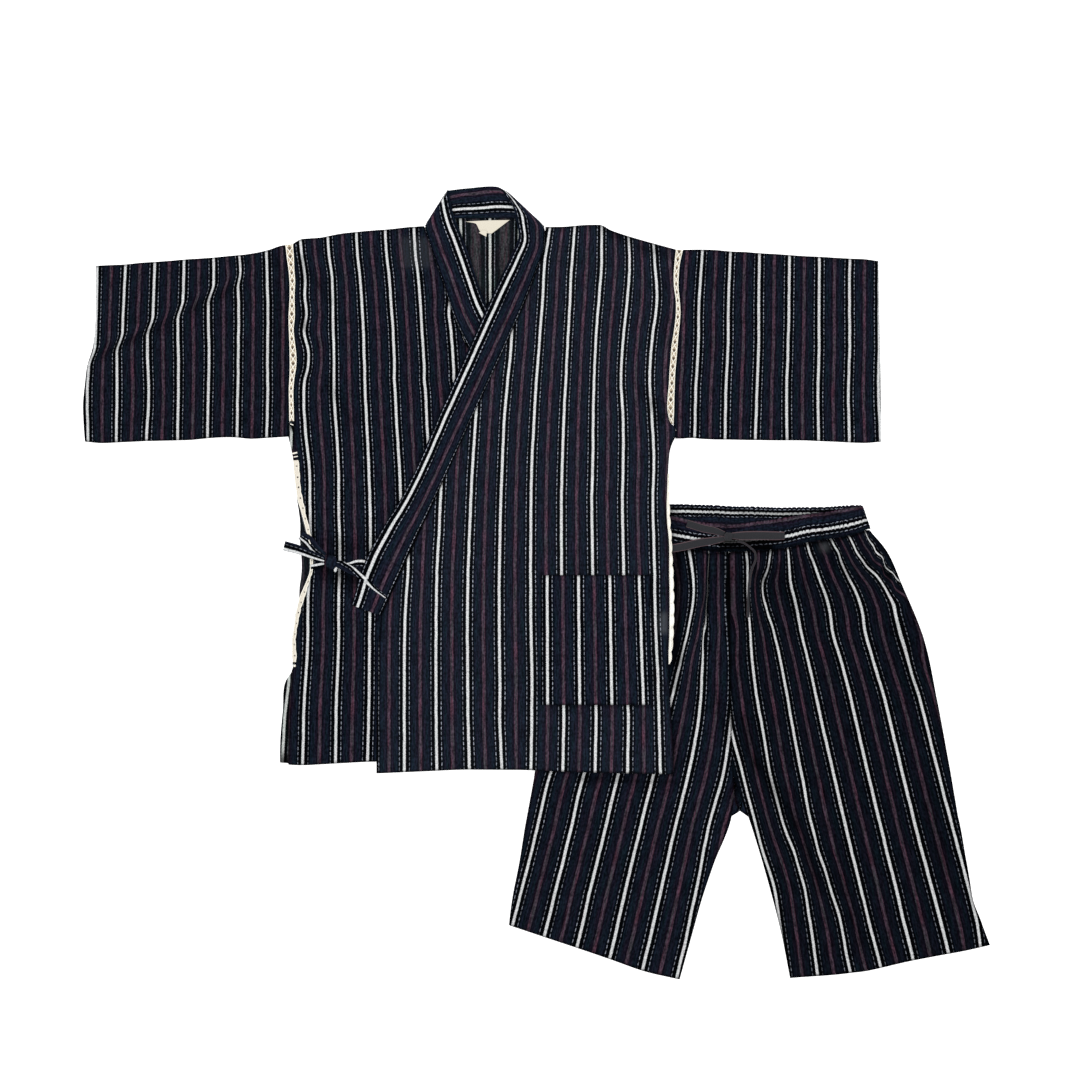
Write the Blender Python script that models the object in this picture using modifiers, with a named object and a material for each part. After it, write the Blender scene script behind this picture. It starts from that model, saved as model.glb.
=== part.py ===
"""Jinbei set laid flat: a short-sleeved wrap jacket that lies partly over its shorts.

Metres, +Z up. The cloth lies on the plane z = 0, front side up, collar towards +Y, the wearer's
left towards +X. The origin is on that plane, in the middle of the set's outline.

Every piece that a maker cuts is a wall of cloth of its own. Pieces are laid in order, each one
on the pieces that are already under it, with a seam gap between them.
"""
import math
from typing import NamedTuple

import bpy
import numpy as np

# --- Cloth ---------------------------------------------------------------------------------------
CLOTH = 0.0010  # wall of one layer of the striped cotton
COLLAR_CLOTH = 0.0020  # the collar strip is sewn double
TAPE = 0.0010  # lace tape, ties and drawstring
SEAM_GAP = 0.0003  # between pieces that are sewn together or lie on each other
SLOPE_ALLOWANCE = 0.0001  # what a wall gains in height where it slopes or turns

# --- Grids ---------------------------------------------------------------------------------------
CELL = 0.031  # longest side of a panel's grid cell
LEG_CELL = 0.033
STRIP_STEP = 0.014  # distance between the sections of a narrow strip
MAP_STEP = 0.002  # cell of the height maps
MAP_HALF = (0.70, 0.62)  # the height maps reach this far from the origin
SMOOTH = 0.012  # cloth rounds off a step below it over this distance

# --- Gathers -------------------------------------------------------------------------------------
WAIST_GATHERS = 46  # on each side of the waistband
GATHER_HEIGHT = 0.0007
LEG_GATHERS = 7  # that run on down each front leg panel
LEG_GATHER_HEIGHT = 0.0016
LEG_GATHER_LENGTH = 0.11


class Section(NamedTuple):
    """One section across a piece, from its first end to its second."""

    x0: float
    y0: float
    x1: float
    y1: float


class Fold(NamedTuple):
    """A soft ridge in a panel, from one point to another."""

    x0: float
    y0: float
    x1: float
    y1: float
    half_width: float
    height: float


class Point(NamedTuple):
    """A point of a strip's middle line, and the strip's width there."""

    x: float
    y: float
    width: float


# --- Jacket panels, sections from hem to shoulder: left end x, y and right end x, y ---------------
BACK_BODY = (
    Section(-0.3719, -0.2596, 0.1907, -0.2762),
    Section(-0.3690, -0.1834, 0.1899, -0.1863),
    Section(-0.3574, -0.1138, 0.1892, -0.1138),
    Section(-0.3487, -0.0413, 0.1892, -0.0413),
    Section(-0.3415, 0.0138, 0.1892, 0.0138),
    Section(-0.3436, 0.0747, 0.1892, 0.0747),
    Section(-0.3516, 0.1472, 0.1892, 0.1700),
    Section(-0.3567, 0.1994, 0.1924, 0.2040),
    Section(-0.3487, 0.2298, 0.1931, 0.2298),
    Section(-0.3466, 0.3270, 0.1952, 0.3357),
    Section(-0.3487, 0.4241, 0.1986, 0.4256),
    Section(-0.3512, 0.4915, 0.2018, 0.4843),
)
RIGHT_FRONT = (
    Section(-0.3590, -0.2624, 0.0819, -0.2646),
    Section(-0.3523, -0.1921, 0.0805, -0.1863),
    Section(-0.3467, -0.1167, 0.0776, -0.1109),
    Section(-0.3354, -0.0138, 0.0755, -0.0479),
    Section(-0.3244, 0.0225, 0.0493, 0.0109),
    Section(-0.3252, 0.0718, 0.0191, 0.0776),
    Section(-0.3366, 0.1443, -0.0123, 0.1472),
    Section(-0.3426, 0.1825, -0.0355, 0.1994),
    Section(-0.3487, 0.2298, -0.0500, 0.2313),
    Section(-0.3466, 0.3270, -0.0946, 0.3299),
    Section(-0.3474, 0.3700, -0.1156, 0.3763),
    Section(-0.3487, 0.4241, -0.1300, 0.4200),
    Section(-0.3512, 0.4915, -0.1630, 0.5169),
)
LEFT_FRONT = (
    Section(-0.2319, -0.2751, 0.1907, -0.2762),
    Section(-0.2310, -0.1863, 0.1899, -0.1863),
    Section(-0.2291, -0.0964, 0.1892, -0.1138),
    Section(-0.2249, -0.0479, 0.1892, -0.0413),
    Section(-0.1972, 0.0146, 0.1892, 0.0138),
    Section(-0.1677, 0.0787, 0.1892, 0.0747),
    Section(-0.1356, 0.1486, 0.1892, 0.1700),
    Section(-0.1122, 0.1994, 0.1924, 0.2040),
    Section(-0.0979, 0.2306, 0.1931, 0.2298),
    Section(-0.0508, 0.3325, 0.1952, 0.3357),
    Section(-0.0146, 0.4131, 0.1981, 0.4140),
    Section(0.0112, 0.4836, 0.1995, 0.4546),
    Section(0.0133, 0.5169, 0.2018, 0.4843),
)
# rise of an outline above the straight line between its corners: share of the way, rise
BACK_SHOULDERS = (
    (0.0, 0.0), (0.08, 0.0107), (0.20, 0.0210), (0.34, 0.0266), (0.42, 0.0346),
    (0.56, 0.0362), (0.657, 0.0276), (0.76, 0.0341), (0.82, 0.0284), (0.90, 0.0145), (1.0, 0.0),
)
RIGHT_SHOULDER = (
    (0.0, 0.0), (0.20, 0.0044), (0.38, 0.0062), (0.60, 0.0046), (0.85, 0.0032), (1.0, 0.0),
)
LEFT_SHOULDER = (
    (0.0, 0.0), (0.12, 0.0038), (0.30, 0.0126), (0.42, 0.0170), (0.50, 0.0116), (0.60, 0.0080),
    (0.80, 0.0036), (1.0, 0.0),
)
RIGHT_HEM = ((0.0, 0.0), (0.28, 0.0050), (1.0, 0.0))
LEFT_HEM = ((0.0, 0.0), (0.30, 0.0062), (0.50, 0.0058), (0.75, 0.0022), (1.0, 0.0))

# --- Sleeves, sections from left to right: top fold x, y and bottom seam x, y ---------------------
RIGHT_SLEEVE = (
    Section(-0.6387, 0.4611, -0.6569, 0.2055),
    Section(-0.5604, 0.4662, -0.5749, 0.2047),
    Section(-0.4662, 0.4727, -0.4807, 0.2113),
    Section(-0.4096, 0.4792, -0.4154, 0.2110),
    Section(-0.3636, 0.4908, -0.3599, 0.2127),
)
LEFT_SLEEVE = (
    Section(0.2132, 0.4831, 0.2013, 0.2116),
    Section(0.2777, 0.4817, 0.2690, 0.2100),
    Section(0.3676, 0.4760, 0.3647, 0.2092),
    Section(0.4401, 0.4714, 0.4401, 0.2063),
    Section(0.4956, 0.4676, 0.4995, 0.2055),
)
# shift of a sleeve's ends from a straight line: share of the way from top to bottom, shift in x
RIGHT_CUFF = (
    (0.0, 0.0), (0.10, -0.0017), (0.27, 0.0033), (0.48, 0.0044), (0.60, -0.0049), (0.75, -0.0042),
    (1.0, 0.0),
)
RIGHT_ARMHOLE = ((0.0, 0.0), (0.24, 0.0020), (0.59, 0.0016), (0.94, 0.0), (1.0, 0.0))
LEFT_ARMHOLE = ((0.0, 0.0), (0.14, -0.0034), (0.30, 0.0), (0.51, -0.0010), (1.0, 0.0))
LEFT_CUFF = ((0.0, 0.0), (0.44, 0.0007), (1.0, 0.0))
SLEEVE_COLUMNS = 8

# --- Collar strip, its three stretches: free edge x, y and sewn edge x, y -------------------------
LEFT_COLLAR = (
    Section(-0.2665, -0.0316, -0.2260, -0.0466),
    Section(-0.2002, 0.1161, -0.1615, 0.0925),
    Section(-0.1340, 0.2639, -0.0976, 0.2323),
    Section(-0.0677, 0.4117, -0.0336, 0.3719),
    Section(-0.0500, 0.4502, -0.0159, 0.4131),
    Section(-0.0367, 0.4782, -0.0003, 0.4555),
    Section(-0.0262, 0.5039, 0.0096, 0.4836),
    Section(-0.0293, 0.5256, 0.0112, 0.5020),
    Section(-0.0344, 0.5464, 0.0118, 0.5116),
    Section(-0.0490, 0.5720, 0.0100, 0.5168),
)
NECK_COLLAR = (
    Section(-0.0490, 0.5720, 0.0100, 0.5168),
    Section(-0.0560, 0.5728, -0.0094, 0.5236),
    Section(-0.0674, 0.5740, -0.0355, 0.5262),
    Section(-0.0964, 0.5723, -0.0848, 0.5266),
    Section(-0.1138, 0.5706, -0.1312, 0.5249),
    Section(-0.1266, 0.5674, -0.1602, 0.5174),
)
RIGHT_COLLAR = (
    Section(-0.1266, 0.5674, -0.1602, 0.5174),
    Section(-0.1247, 0.5532, -0.1610, 0.5140),
    Section(-0.1189, 0.5300, -0.1566, 0.5002),
    Section(-0.1087, 0.5053, -0.1485, 0.4749),
    Section(-0.0958, 0.4691, -0.1350, 0.4372),
    Section(-0.0751, 0.4088, -0.1148, 0.3763),
    Section(-0.0109, 0.2622, -0.0508, 0.2349),
    Section(0.0534, 0.1154, 0.0128, 0.0935),
    Section(0.1176, -0.0312, 0.0764, -0.0472),
)
COLLAR_COLUMNS = 2

# --- Pocket, neck label and its size tab ----------------------------------------------------------
POCKET = (Section(0.0065, -0.1754, 0.1646, -0.1754), Section(0.0065, 0.0123, 0.1646, 0.0123))
POCKET_CELL = 0.040
LABEL_OUTLINE = (
    (-0.1030, 0.5220), (-0.0877, 0.5196), (-0.0811, 0.5095), (-0.0677, 0.5082), (-0.0383, 0.5220),
)
TAB_OUTLINE = (
    (-0.0828, 0.5050), (-0.0812, 0.5088), (-0.0704, 0.5074), (-0.0729, 0.5004), (-0.0805, 0.5037),
)
LABEL_LIFT = 0.0002

# --- Lace: middle line and width ------------------------------------------------------------------
RIGHT_ARMHOLE_LACE = (
    Point(-0.3541, 0.2310, 0.0096),
    Point(-0.3525, 0.3270, 0.0108),
    Point(-0.3537, 0.4241, 0.0086),
    Point(-0.3566, 0.4662, 0.0108),
    Point(-0.3574, 0.4915, 0.0108),
)
LEFT_ARMHOLE_LACE = (
    Point(0.1972, 0.2255, 0.0068),
    Point(0.2005, 0.3400, 0.0096),
    Point(0.2055, 0.4016, 0.0062),
    Point(0.2043, 0.4459, 0.0064),
    Point(0.2073, 0.4836, 0.0100),
)
RIGHT_SIDE_LACE = (
    Point(-0.3487, 0.1790, 0.0106),
    Point(-0.3416, 0.1356, 0.0088),
    Point(-0.3329, 0.0898, 0.0064),
    Point(-0.3290, 0.0703, 0.0056),
    Point(-0.3276, 0.0202, 0.0044),
    Point(-0.3400, -0.0138, 0.0070),
    Point(-0.3458, -0.0645, 0.0072),
    Point(-0.3511, -0.1153, 0.0070),
)
LEFT_SIDE_LACE_X = (0.1897, 0.1944)  # folded round the side edge: open side, start of the fold
LEFT_SIDE_LACE_Y = (-0.1225, 0.1646)
LEFT_SIDE_LACE_SECTIONS = 9

# --- Ties of the jacket ---------------------------------------------------------------------------
TIE_LEAD = (
    Point(-0.3415, 0.0702, 0.0105),
    Point(-0.3240, 0.0545, 0.0095),
    Point(-0.3070, 0.0403, 0.0060),
)
TIE_RIGHT_TAIL = (
    Point(-0.3068, 0.0349, 0.0070),
    Point(-0.3350, 0.0452, 0.0100),
    Point(-0.3645, 0.0555, 0.0098),
)
TIE_LOOP = (
    Point(-0.3075, 0.0275, 0.0060),
    Point(-0.3170, 0.0255, 0.0070),
    Point(-0.3270, 0.0240, 0.0060),
)
TIE_STRAP = (
    Point(-0.2440, 0.0264, 0.0100),
    Point(-0.2660, 0.0290, 0.0110),
    Point(-0.2850, 0.0310, 0.0070),
)
TIE_LEFT_TAIL = (
    Point(-0.2900, 0.0195, 0.0060),
    Point(-0.2760, 0.0180, 0.0080),
    Point(-0.2610, 0.0120, 0.0075),
    Point(-0.2400, -0.0035, 0.0050),
    Point(-0.2175, -0.0200, 0.0040),
)
TIE_KNOT = (-0.2988, 0.0316)
TIE_KNOT_SIZE = (0.0130, 0.0150, 0.0062)

# --- Leg panels, sections from waist to hem: left end x, y and right end x, y ---------------------
RIGHT_LEG_FRONT = (
    Section(0.0776, 0.0755, 0.2789, 0.0449),
    Section(0.0602, 0.0471, 0.2789, 0.0210),
    Section(0.0413, -0.0094, 0.2793, -0.0239),
    Section(0.0239, -0.0819, 0.2798, -0.0964),
    Section(0.0094, -0.1762, 0.2807, -0.1762),
    Section(-0.0029, -0.2762, 0.2846, -0.2777),
    Section(-0.0138, -0.3371, 0.2820, -0.3371),
    Section(-0.0254, -0.4067, 0.2559, -0.4067),
    Section(-0.0355, -0.4589, 0.2385, -0.4589),
    Section(-0.0394, -0.4894, 0.2255, -0.5053),
    Section(-0.0399, -0.4952, 0.2066, -0.5735),
)
RIGHT_LEG_BACK = (
    Section(0.0776, 0.0787, 0.2789, 0.0787),
    Section(0.0602, 0.0471, 0.2789, 0.0210),
    Section(0.0413, -0.0094, 0.2793, -0.0239),
    Section(0.0239, -0.0819, 0.2798, -0.0964),
    Section(0.0094, -0.1762, 0.2807, -0.1762),
    Section(-0.0029, -0.2762, 0.2850, -0.2777),
    Section(-0.0123, -0.3299, 0.2948, -0.3299),
    Section(-0.0138, -0.3371, 0.2820, -0.3378),
    Section(-0.0254, -0.4067, 0.2559, -0.4067),
    Section(-0.0355, -0.4589, 0.2385, -0.4589),
    Section(-0.0394, -0.4894, 0.2255, -0.5053),
    Section(-0.0399, -0.4952, 0.2066, -0.5739),
)
LEFT_LEG_FRONT = (
    Section(0.2793, 0.0449, 0.4828, 0.0778),
    Section(0.2793, 0.0210, 0.5053, 0.0500),
    Section(0.2797, -0.0239, 0.5314, -0.0051),
    Section(0.2802, -0.0964, 0.5604, -0.0761),
    Section(0.2811, -0.1762, 0.5822, -0.1762),
    Section(0.2852, -0.2777, 0.5996, -0.2704),
    Section(0.3067, -0.3371, 0.6112, -0.3386),
    Section(0.3284, -0.4067, 0.6235, -0.4038),
    Section(0.3429, -0.4589, 0.6329, -0.4589),
    Section(0.3545, -0.5053, 0.6460, -0.4937),
    Section(0.3676, -0.5713, 0.6547, -0.5242),
)
LEFT_LEG_BACK = (
    Section(0.2793, 0.0787, 0.4826, 0.0775),
    Section(0.2793, 0.0210, 0.5060, 0.0500),
    Section(0.2797, -0.0239, 0.5314, -0.0051),
    Section(0.2802, -0.0964, 0.5604, -0.0761),
    Section(0.2811, -0.1762, 0.5822, -0.1762),
    Section(0.2854, -0.2777, 0.5996, -0.2704),
    Section(0.2952, -0.3299, 0.6097, -0.3313),
    Section(0.3067, -0.3378, 0.6119, -0.3400),
    Section(0.3284, -0.4067, 0.6235, -0.4038),
    Section(0.3429, -0.4589, 0.6329, -0.4589),
    Section(0.3545, -0.5053, 0.6460, -0.4937),
    Section(0.3676, -0.5720, 0.6576, -0.5242),
)
RIGHT_WAIST = ((0.0, 0.0), (0.70, -0.0030), (0.85, -0.0058), (1.0, 0.0))
LEFT_WAIST = (
    (0.0, 0.0), (0.06, -0.0014), (0.18, -0.0044), (0.42, -0.0080), (0.57, -0.0050), (0.73, -0.0052),
    (0.89, -0.0044), (1.0, -0.0006),
)
RIGHT_LEG_HEM = ((0.0, 0.0), (0.60, -0.0029), (0.80, -0.0044), (1.0, 0.0))
LEFT_LEG_HEM = ((0.0, 0.0), (0.35, -0.0084), (0.62, -0.0039), (0.94, -0.0017), (1.0, 0.0))

# --- Waistband, sections from left to right: free edge x, y and sewn edge x, y --------------------
WAIST_FRONT = (
    Section(0.0834, 0.1124, 0.0764, 0.0796),
    Section(0.1501, 0.1051, 0.1472, 0.0650),
    Section(0.1950, 0.0993, 0.1936, 0.0563),
    Section(0.2226, 0.0928, 0.2211, 0.0512),
    Section(0.2559, 0.0870, 0.2545, 0.0464),
    Section(0.2878, 0.0863, 0.2878, 0.0462),
    Section(0.3168, 0.0899, 0.3168, 0.0477),
    Section(0.3647, 0.0967, 0.3647, 0.0523),
    Section(0.3937, 0.1012, 0.3951, 0.0602),
    Section(0.4256, 0.1051, 0.4285, 0.0655),
    Section(0.4546, 0.1102, 0.4604, 0.0713),
    Section(0.4713, 0.1134, 0.4828, 0.0800),
)
WAIST_BACK = (
    Section(0.0834, 0.1131, 0.0764, 0.0798),
    Section(0.1931, 0.1157, 0.1921, 0.0803),
    Section(0.2864, 0.1121, 0.2864, 0.0798),
    Section(0.3845, 0.1103, 0.3864, 0.0792),
    Section(0.4713, 0.1138, 0.4828, 0.0790),
)
WAIST_ROWS = 1

# --- Drawstring, a flat tape ----------------------------------------------------------------------
DRAWSTRING_LEFT_TAIL = (
    Point(0.2706, 0.0722, 0.0080),
    Point(0.2450, 0.0790, 0.0105),
    Point(0.2182, 0.0866, 0.0108),
)
DRAWSTRING_LEFT_LOOP = (
    Point(0.2706, 0.0645, 0.0070),
    Point(0.2371, 0.0590, 0.0100),
    Point(0.1700, 0.0470, 0.0105),
)
DRAWSTRING_RIGHT_LOOP = (
    Point(0.2846, 0.0689, 0.0110),
    Point(0.3220, 0.0692, 0.0118),
    Point(0.3585, 0.0689, 0.0118),
)
DRAWSTRING_TAIL = (
    Point(0.2930, 0.0600, 0.0050),
    Point(0.3110, 0.0510, 0.0050),
    Point(0.3172, 0.0430, 0.0050),
    Point(0.3172, 0.0340, 0.0050),
    Point(0.3103, 0.0181, 0.0050),
    Point(0.3074, -0.0150, 0.0050),
    Point(0.3066, -0.0490, 0.0050),
)
DRAWSTRING_KNOT = (0.2777, 0.0681)
DRAWSTRING_KNOT_SIZE = (0.0130, 0.0125, 0.0060)

# --- Largest folds ---------------------------------------------------------------------------------
FOLDS = {
    "right_front": (
        Fold(-0.330, 0.400, -0.262, 0.300, 0.030, 0.0016),
        Fold(-0.335, 0.285, -0.250, 0.235, 0.030, 0.0014),
        Fold(-0.310, 0.065, -0.215, 0.120, 0.032, 0.0016),
        Fold(-0.300, -0.010, -0.215, -0.075, 0.032, 0.0014),
        Fold(-0.180, 0.400, -0.170, 0.250, 0.030, 0.0010),
    ),
    "left_front": (
        Fold(0.080, 0.450, 0.105, 0.300, 0.032, 0.0016),
        Fold(0.170, 0.300, 0.085, 0.235, 0.032, 0.0018),
        Fold(0.160, 0.170, 0.020, 0.120, 0.034, 0.0014),
        Fold(0.150, 0.050, 0.040, 0.060, 0.030, 0.0012),
        Fold(-0.150, -0.050, -0.080, -0.200, 0.034, 0.0012),
    ),
    "right_sleeve": (
        Fold(-0.380, 0.430, -0.450, 0.330, 0.034, 0.0018),
        Fold(-0.620, 0.350, -0.540, 0.310, 0.034, 0.0020),
        Fold(-0.390, 0.260, -0.470, 0.250, 0.030, 0.0012),
    ),
    "left_sleeve": (
        Fold(0.230, 0.430, 0.300, 0.340, 0.034, 0.0018),
        Fold(0.460, 0.330, 0.380, 0.290, 0.034, 0.0014),
        Fold(0.240, 0.270, 0.320, 0.240, 0.030, 0.0012),
    ),
    "right_leg_front": (
        Fold(0.200, -0.300, 0.110, -0.400, 0.036, 0.0016),
        Fold(0.060, -0.320, 0.030, -0.450, 0.036, 0.0012),
    ),
    "left_leg_front": (
        Fold(0.340, -0.240, 0.420, -0.340, 0.036, 0.0016),
        Fold(0.520, -0.020, 0.540, -0.150, 0.034, 0.0020),
        Fold(0.560, -0.300, 0.580, -0.430, 0.036, 0.0014),
    ),
}

# --- Colours: red, green, blue, roughness -----------------------------------------------------------
STRIPED_COTTON = (0.014, 0.018, 0.030, 0.85)
CREAM_LACE = (0.86, 0.80, 0.70, 0.75)
LABEL_SATIN = (0.80, 0.76, 0.62, 0.55)
GREY_TAPE = (0.075, 0.062, 0.070, 0.80)


class Ground:
    """Height maps of the pieces already laid, one for each piece."""

    def __init__(self):
        self.shape = tuple(int(2 * half / MAP_STEP) + 1 for half in MAP_HALF)
        self.tops = {}

    def add(self, name, surface):
        """Writes a grid's heights into the map of its piece, triangle by triangle."""
        top = self.tops.setdefault(name, np.zeros(self.shape))
        for row in range(surface.shape[0] - 1):
            for column in range(surface.shape[1] - 1):
                a, b = surface[row, column], surface[row, column + 1]
                c, d = surface[row + 1, column + 1], surface[row + 1, column]
                self._fill(top, a, b, c)
                self._fill(top, a, c, d)

    @staticmethod
    def _fill(top, a, b, c):
        """Raises the cells under one triangle to its height."""
        cells = [[(p[k] + MAP_HALF[k]) / MAP_STEP for k in (0, 1)] for p in (a, b, c)]
        low = [max(0, math.floor(min(p[k] for p in cells))) for k in (0, 1)]
        high = [math.ceil(max(p[k] for p in cells)) + 1 for k in (0, 1)]
        x, y = np.meshgrid(range(low[0], high[0]), range(low[1], high[1]), indexing="ij")
        (ax, ay), (bx, by), (cx, cy) = cells
        area = (bx - ax) * (cy - ay) - (by - ay) * (cx - ax)
        if abs(area) < 1e-9:
            return
        share_b = ((x - ax) * (cy - ay) - (y - ay) * (cx - ax)) / area
        share_c = ((bx - ax) * (y - ay) - (by - ay) * (x - ax)) / area
        edge = 1.5 / max(1.0, math.sqrt(abs(area)))  # cells that the triangle only touches count too
        inside = (share_b > -edge) & (share_c > -edge) & (share_b + share_c < 1 + edge)
        height = a[2] + share_b * (b[2] - a[2]) + share_c * (c[2] - a[2])
        height = np.clip(height, min(a[2], b[2], c[2]), max(a[2], b[2], c[2]))
        patch = top[low[0]:high[0], low[1]:high[1]]
        np.maximum(patch, np.where(inside, height, 0.0), out=patch)

    def under(self, names, points, reach):
        """Lowest height at which cloth with grid cells of that reach clears the named pieces."""
        heights = np.zeros(self.shape)
        for name in names:
            heights = np.maximum(heights, self.tops[name])
        heights = widen(heights, math.ceil((reach + SMOOTH) / MAP_STEP) + 1)
        heights = soften(heights, math.floor(SMOOTH / MAP_STEP))
        index = [
            np.clip(np.rint((points[..., k] + MAP_HALF[k]) / MAP_STEP).astype(int), 0, self.shape[k] - 1)
            for k in (0, 1)
        ]
        base = heights[index[0], index[1]]
        return np.where(base > 1e-6, base + SEAM_GAP, 0.0)


def widen(heights, cells):
    """The greatest height within that many cells, along each axis in turn."""
    for axis in (0, 1):
        padded = np.pad(heights, [(cells, cells) if k == axis else (0, 0) for k in (0, 1)])
        window = np.lib.stride_tricks.sliding_window_view(padded, 2 * cells + 1, axis=axis)
        heights = window.max(axis=-1)
    return heights


def soften(heights, cells):
    """The mean height within that many cells, along each axis in turn."""
    for axis in (0, 1):
        padded = np.pad(heights, [(cells, cells) if k == axis else (0, 0) for k in (0, 1)], mode="edge")
        window = np.lib.stride_tricks.sliding_window_view(padded, 2 * cells + 1, axis=axis)
        heights = window.mean(axis=-1)
    return heights


GROUND = Ground()


# --- Shapes ----------------------------------------------------------------------------------------
def subdivided(rows, step):
    """Rows of numbers, with as many more between them as their sections' ends need."""
    result = [np.array(rows[0], float)]
    for first, second in zip(rows, rows[1:]):
        first, second = np.array(first, float), np.array(second, float)
        span = max(np.hypot(*(second - first)[:2]), np.hypot(*(second - first)[-2:]))
        count = max(1, math.ceil(span / step))
        result += [first + (second - first) * k / count for k in range(1, count + 1)]
    return np.array(result)


def profile(table, shares):
    """A profile table's values at these shares of the way."""
    xs, values = zip(*table)
    return np.interp(shares, xs, values)


def panel(sections, cell, first=None, last=None, columns=None, along=1, rows_step=None):
    """A grid of points over a panel: its sections, with the first and last bent by a profile.

    along is the axis that the profiles shift: 0 for x and 1 for y.
    """
    rows = subdivided(sections, rows_step or cell)
    widest = max(np.hypot(row[2] - row[0], row[3] - row[1]) for row in rows)
    shares = np.linspace(0, 1, (columns or math.ceil(widest / cell)) + 1)
    points = rows[:, None, :2] + shares[None, :, None] * (rows[:, None, 2:] - rows[:, None, :2])
    way = np.linspace(0, 1, len(rows))[:, None]
    if first:
        points[..., along] += (1 - way) ** 2 * profile(first, shares)
    if last:
        points[..., along] += way ** 2 * profile(last, shares)
    return points


def relief(points, folds):
    """Heights of the soft ridges, which die out at a panel's outline."""
    rows, columns = points.shape[:2]
    height = np.zeros((rows, columns))
    for fold in folds:
        start, end = np.array(fold[:2]), np.array(fold[2:4])
        way = end - start
        share = np.clip(((points - start) @ way) / (way @ way), 0, 1)
        distance = np.linalg.norm(points - start - share[..., None] * way, axis=-1)
        height += fold.height * np.cos(np.clip(distance / fold.half_width, 0, 1) * math.pi / 2) ** 2
    across = np.sin(np.linspace(0, math.pi, columns)) ** 0.5
    down = np.sin(np.linspace(0, math.pi, rows)) ** 0.5
    return height * np.outer(down, across)


def reach_of(points):
    """The longest diagonal of a grid's cells, seen from above."""
    one = np.linalg.norm(points[1:, 1:, :2] - points[:-1, :-1, :2], axis=-1)
    other = np.linalg.norm(points[1:, :-1, :2] - points[:-1, 1:, :2], axis=-1)
    return float(max(one.max(), other.max()))


def laid(name, points, over, wall, folds=(), extra=0.0):
    """Lays a grid on the named pieces and returns its underside; its top goes into the map."""
    base = GROUND.under(over, points, reach_of(points)) if over else np.zeros(points.shape[:2])
    surface = np.dstack([points, base + relief(points, folds) + extra])
    GROUND.add(name, surface + (0, 0, wall + SLOPE_ALLOWANCE))
    return surface


def strip(route, step):
    """A narrow strip's grid, 2 points across, along a smooth curve through its middle points."""
    route = np.array(route, float)
    ways = np.concatenate([[0], np.cumsum(np.hypot(*np.diff(route[:, :2], axis=0).T))])
    count = max(2, math.ceil(ways[-1] / step))
    fine = np.array([catmull_rom(route, ways, s) for s in np.linspace(0, ways[-1], count + 1)])
    heading = np.gradient(fine[:, :2], axis=0)
    heading /= np.linalg.norm(heading, axis=1)[:, None]
    side = np.column_stack([-heading[:, 1], heading[:, 0]]) * fine[:, 2:3] / 2
    return np.stack([fine[:, :2] - side, fine[:, :2] + side], axis=1)


def catmull_rom(route, ways, s):
    """The point at distance s on a smooth curve through the route's rows."""
    k = min(int(np.searchsorted(ways, s, side="right")) - 1, len(route) - 2)
    t = (s - ways[k]) / (ways[k + 1] - ways[k])
    before = route[k - 1] if k else 2 * route[0] - route[1]
    after = route[k + 2] if k + 2 < len(route) else 2 * route[-1] - route[-2]
    p1, p2 = route[k], route[k + 1]
    return 0.5 * (
        2 * p1 + (p2 - before) * t + (2 * before - 5 * p1 + 4 * p2 - after) * t ** 2
        + (3 * p1 - before - 3 * p2 + after) * t ** 3
    )


def turned(lower, upper):
    """Joins two laid layers at their last rows by a U-turn, for a strip that folds onto itself."""
    outward = lower[-1] - lower[-2]
    outward[:, 2] = 0
    outward /= np.linalg.norm(outward, axis=-1)[:, None]
    middle = (lower[-1] + upper[-1]) / 2
    radius = (upper[-1][:, 2] - lower[-1][:, 2])[:, None] / 2
    return np.concatenate([lower, [middle + outward * radius], upper[::-1]])


# --- Objects ----------------------------------------------------------------------------------------
def material(name, finish):
    """A Principled material of that colour and roughness."""
    red, green, blue, roughness = finish
    made = bpy.data.materials.new(name)
    made.use_nodes = True
    shader = made.node_tree.nodes["Principled BSDF"]
    shader.inputs["Base Color"].default_value = (red, green, blue, 1)
    shader.inputs["Roughness"].default_value = roughness
    shader.inputs["Metallic"].default_value = 0
    made.diffuse_color = (red, green, blue, 1)
    return made


def add_object(name, mesh, finish):
    """Adds a mesh as an object with a material of its own."""
    made = bpy.data.objects.new(name, mesh)
    made.data.materials.append(material(name, finish))
    COLLECTION.objects.link(made)
    return made


def cloth(name, surface, wall, finish=STRIPED_COTTON, closed=False, side=1.0):
    """A wall of cloth on a grid of points. closed joins the last row to the first.

    side 1 lays the wall on the upper side of the grid, and 0 sets it half on each side.
    """
    rows, columns = surface.shape[:2]
    index = np.arange(rows * columns).reshape(rows, columns)
    faces = []
    for row in range(rows if closed else rows - 1):
        after = (row + 1) % rows
        for column in range(columns - 1):
            faces.append([
                index[row, column], index[row, column + 1], index[after, column + 1], index[after, column],
            ])
    corners = surface.reshape(-1, 3)[np.array(faces)]
    normals = np.cross(corners[:, 2] - corners[:, 0], corners[:, 3] - corners[:, 1])
    above = corners[..., 2].mean(axis=1) - corners[..., 2].mean() if closed else 1.0
    if (normals[:, 2] * above).sum() < 0:
        faces = [face[::-1] for face in faces]
    mesh = bpy.data.meshes.new(name)
    mesh.from_pydata(surface.reshape(-1, 3).tolist(), [], [[int(v) for v in face] for face in faces])
    made = add_object(name, mesh, finish)
    solidify = made.modifiers.new("wall", "SOLIDIFY")
    solidify.thickness = wall
    solidify.offset = side
    solidify.use_even_offset = True
    return made


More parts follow.
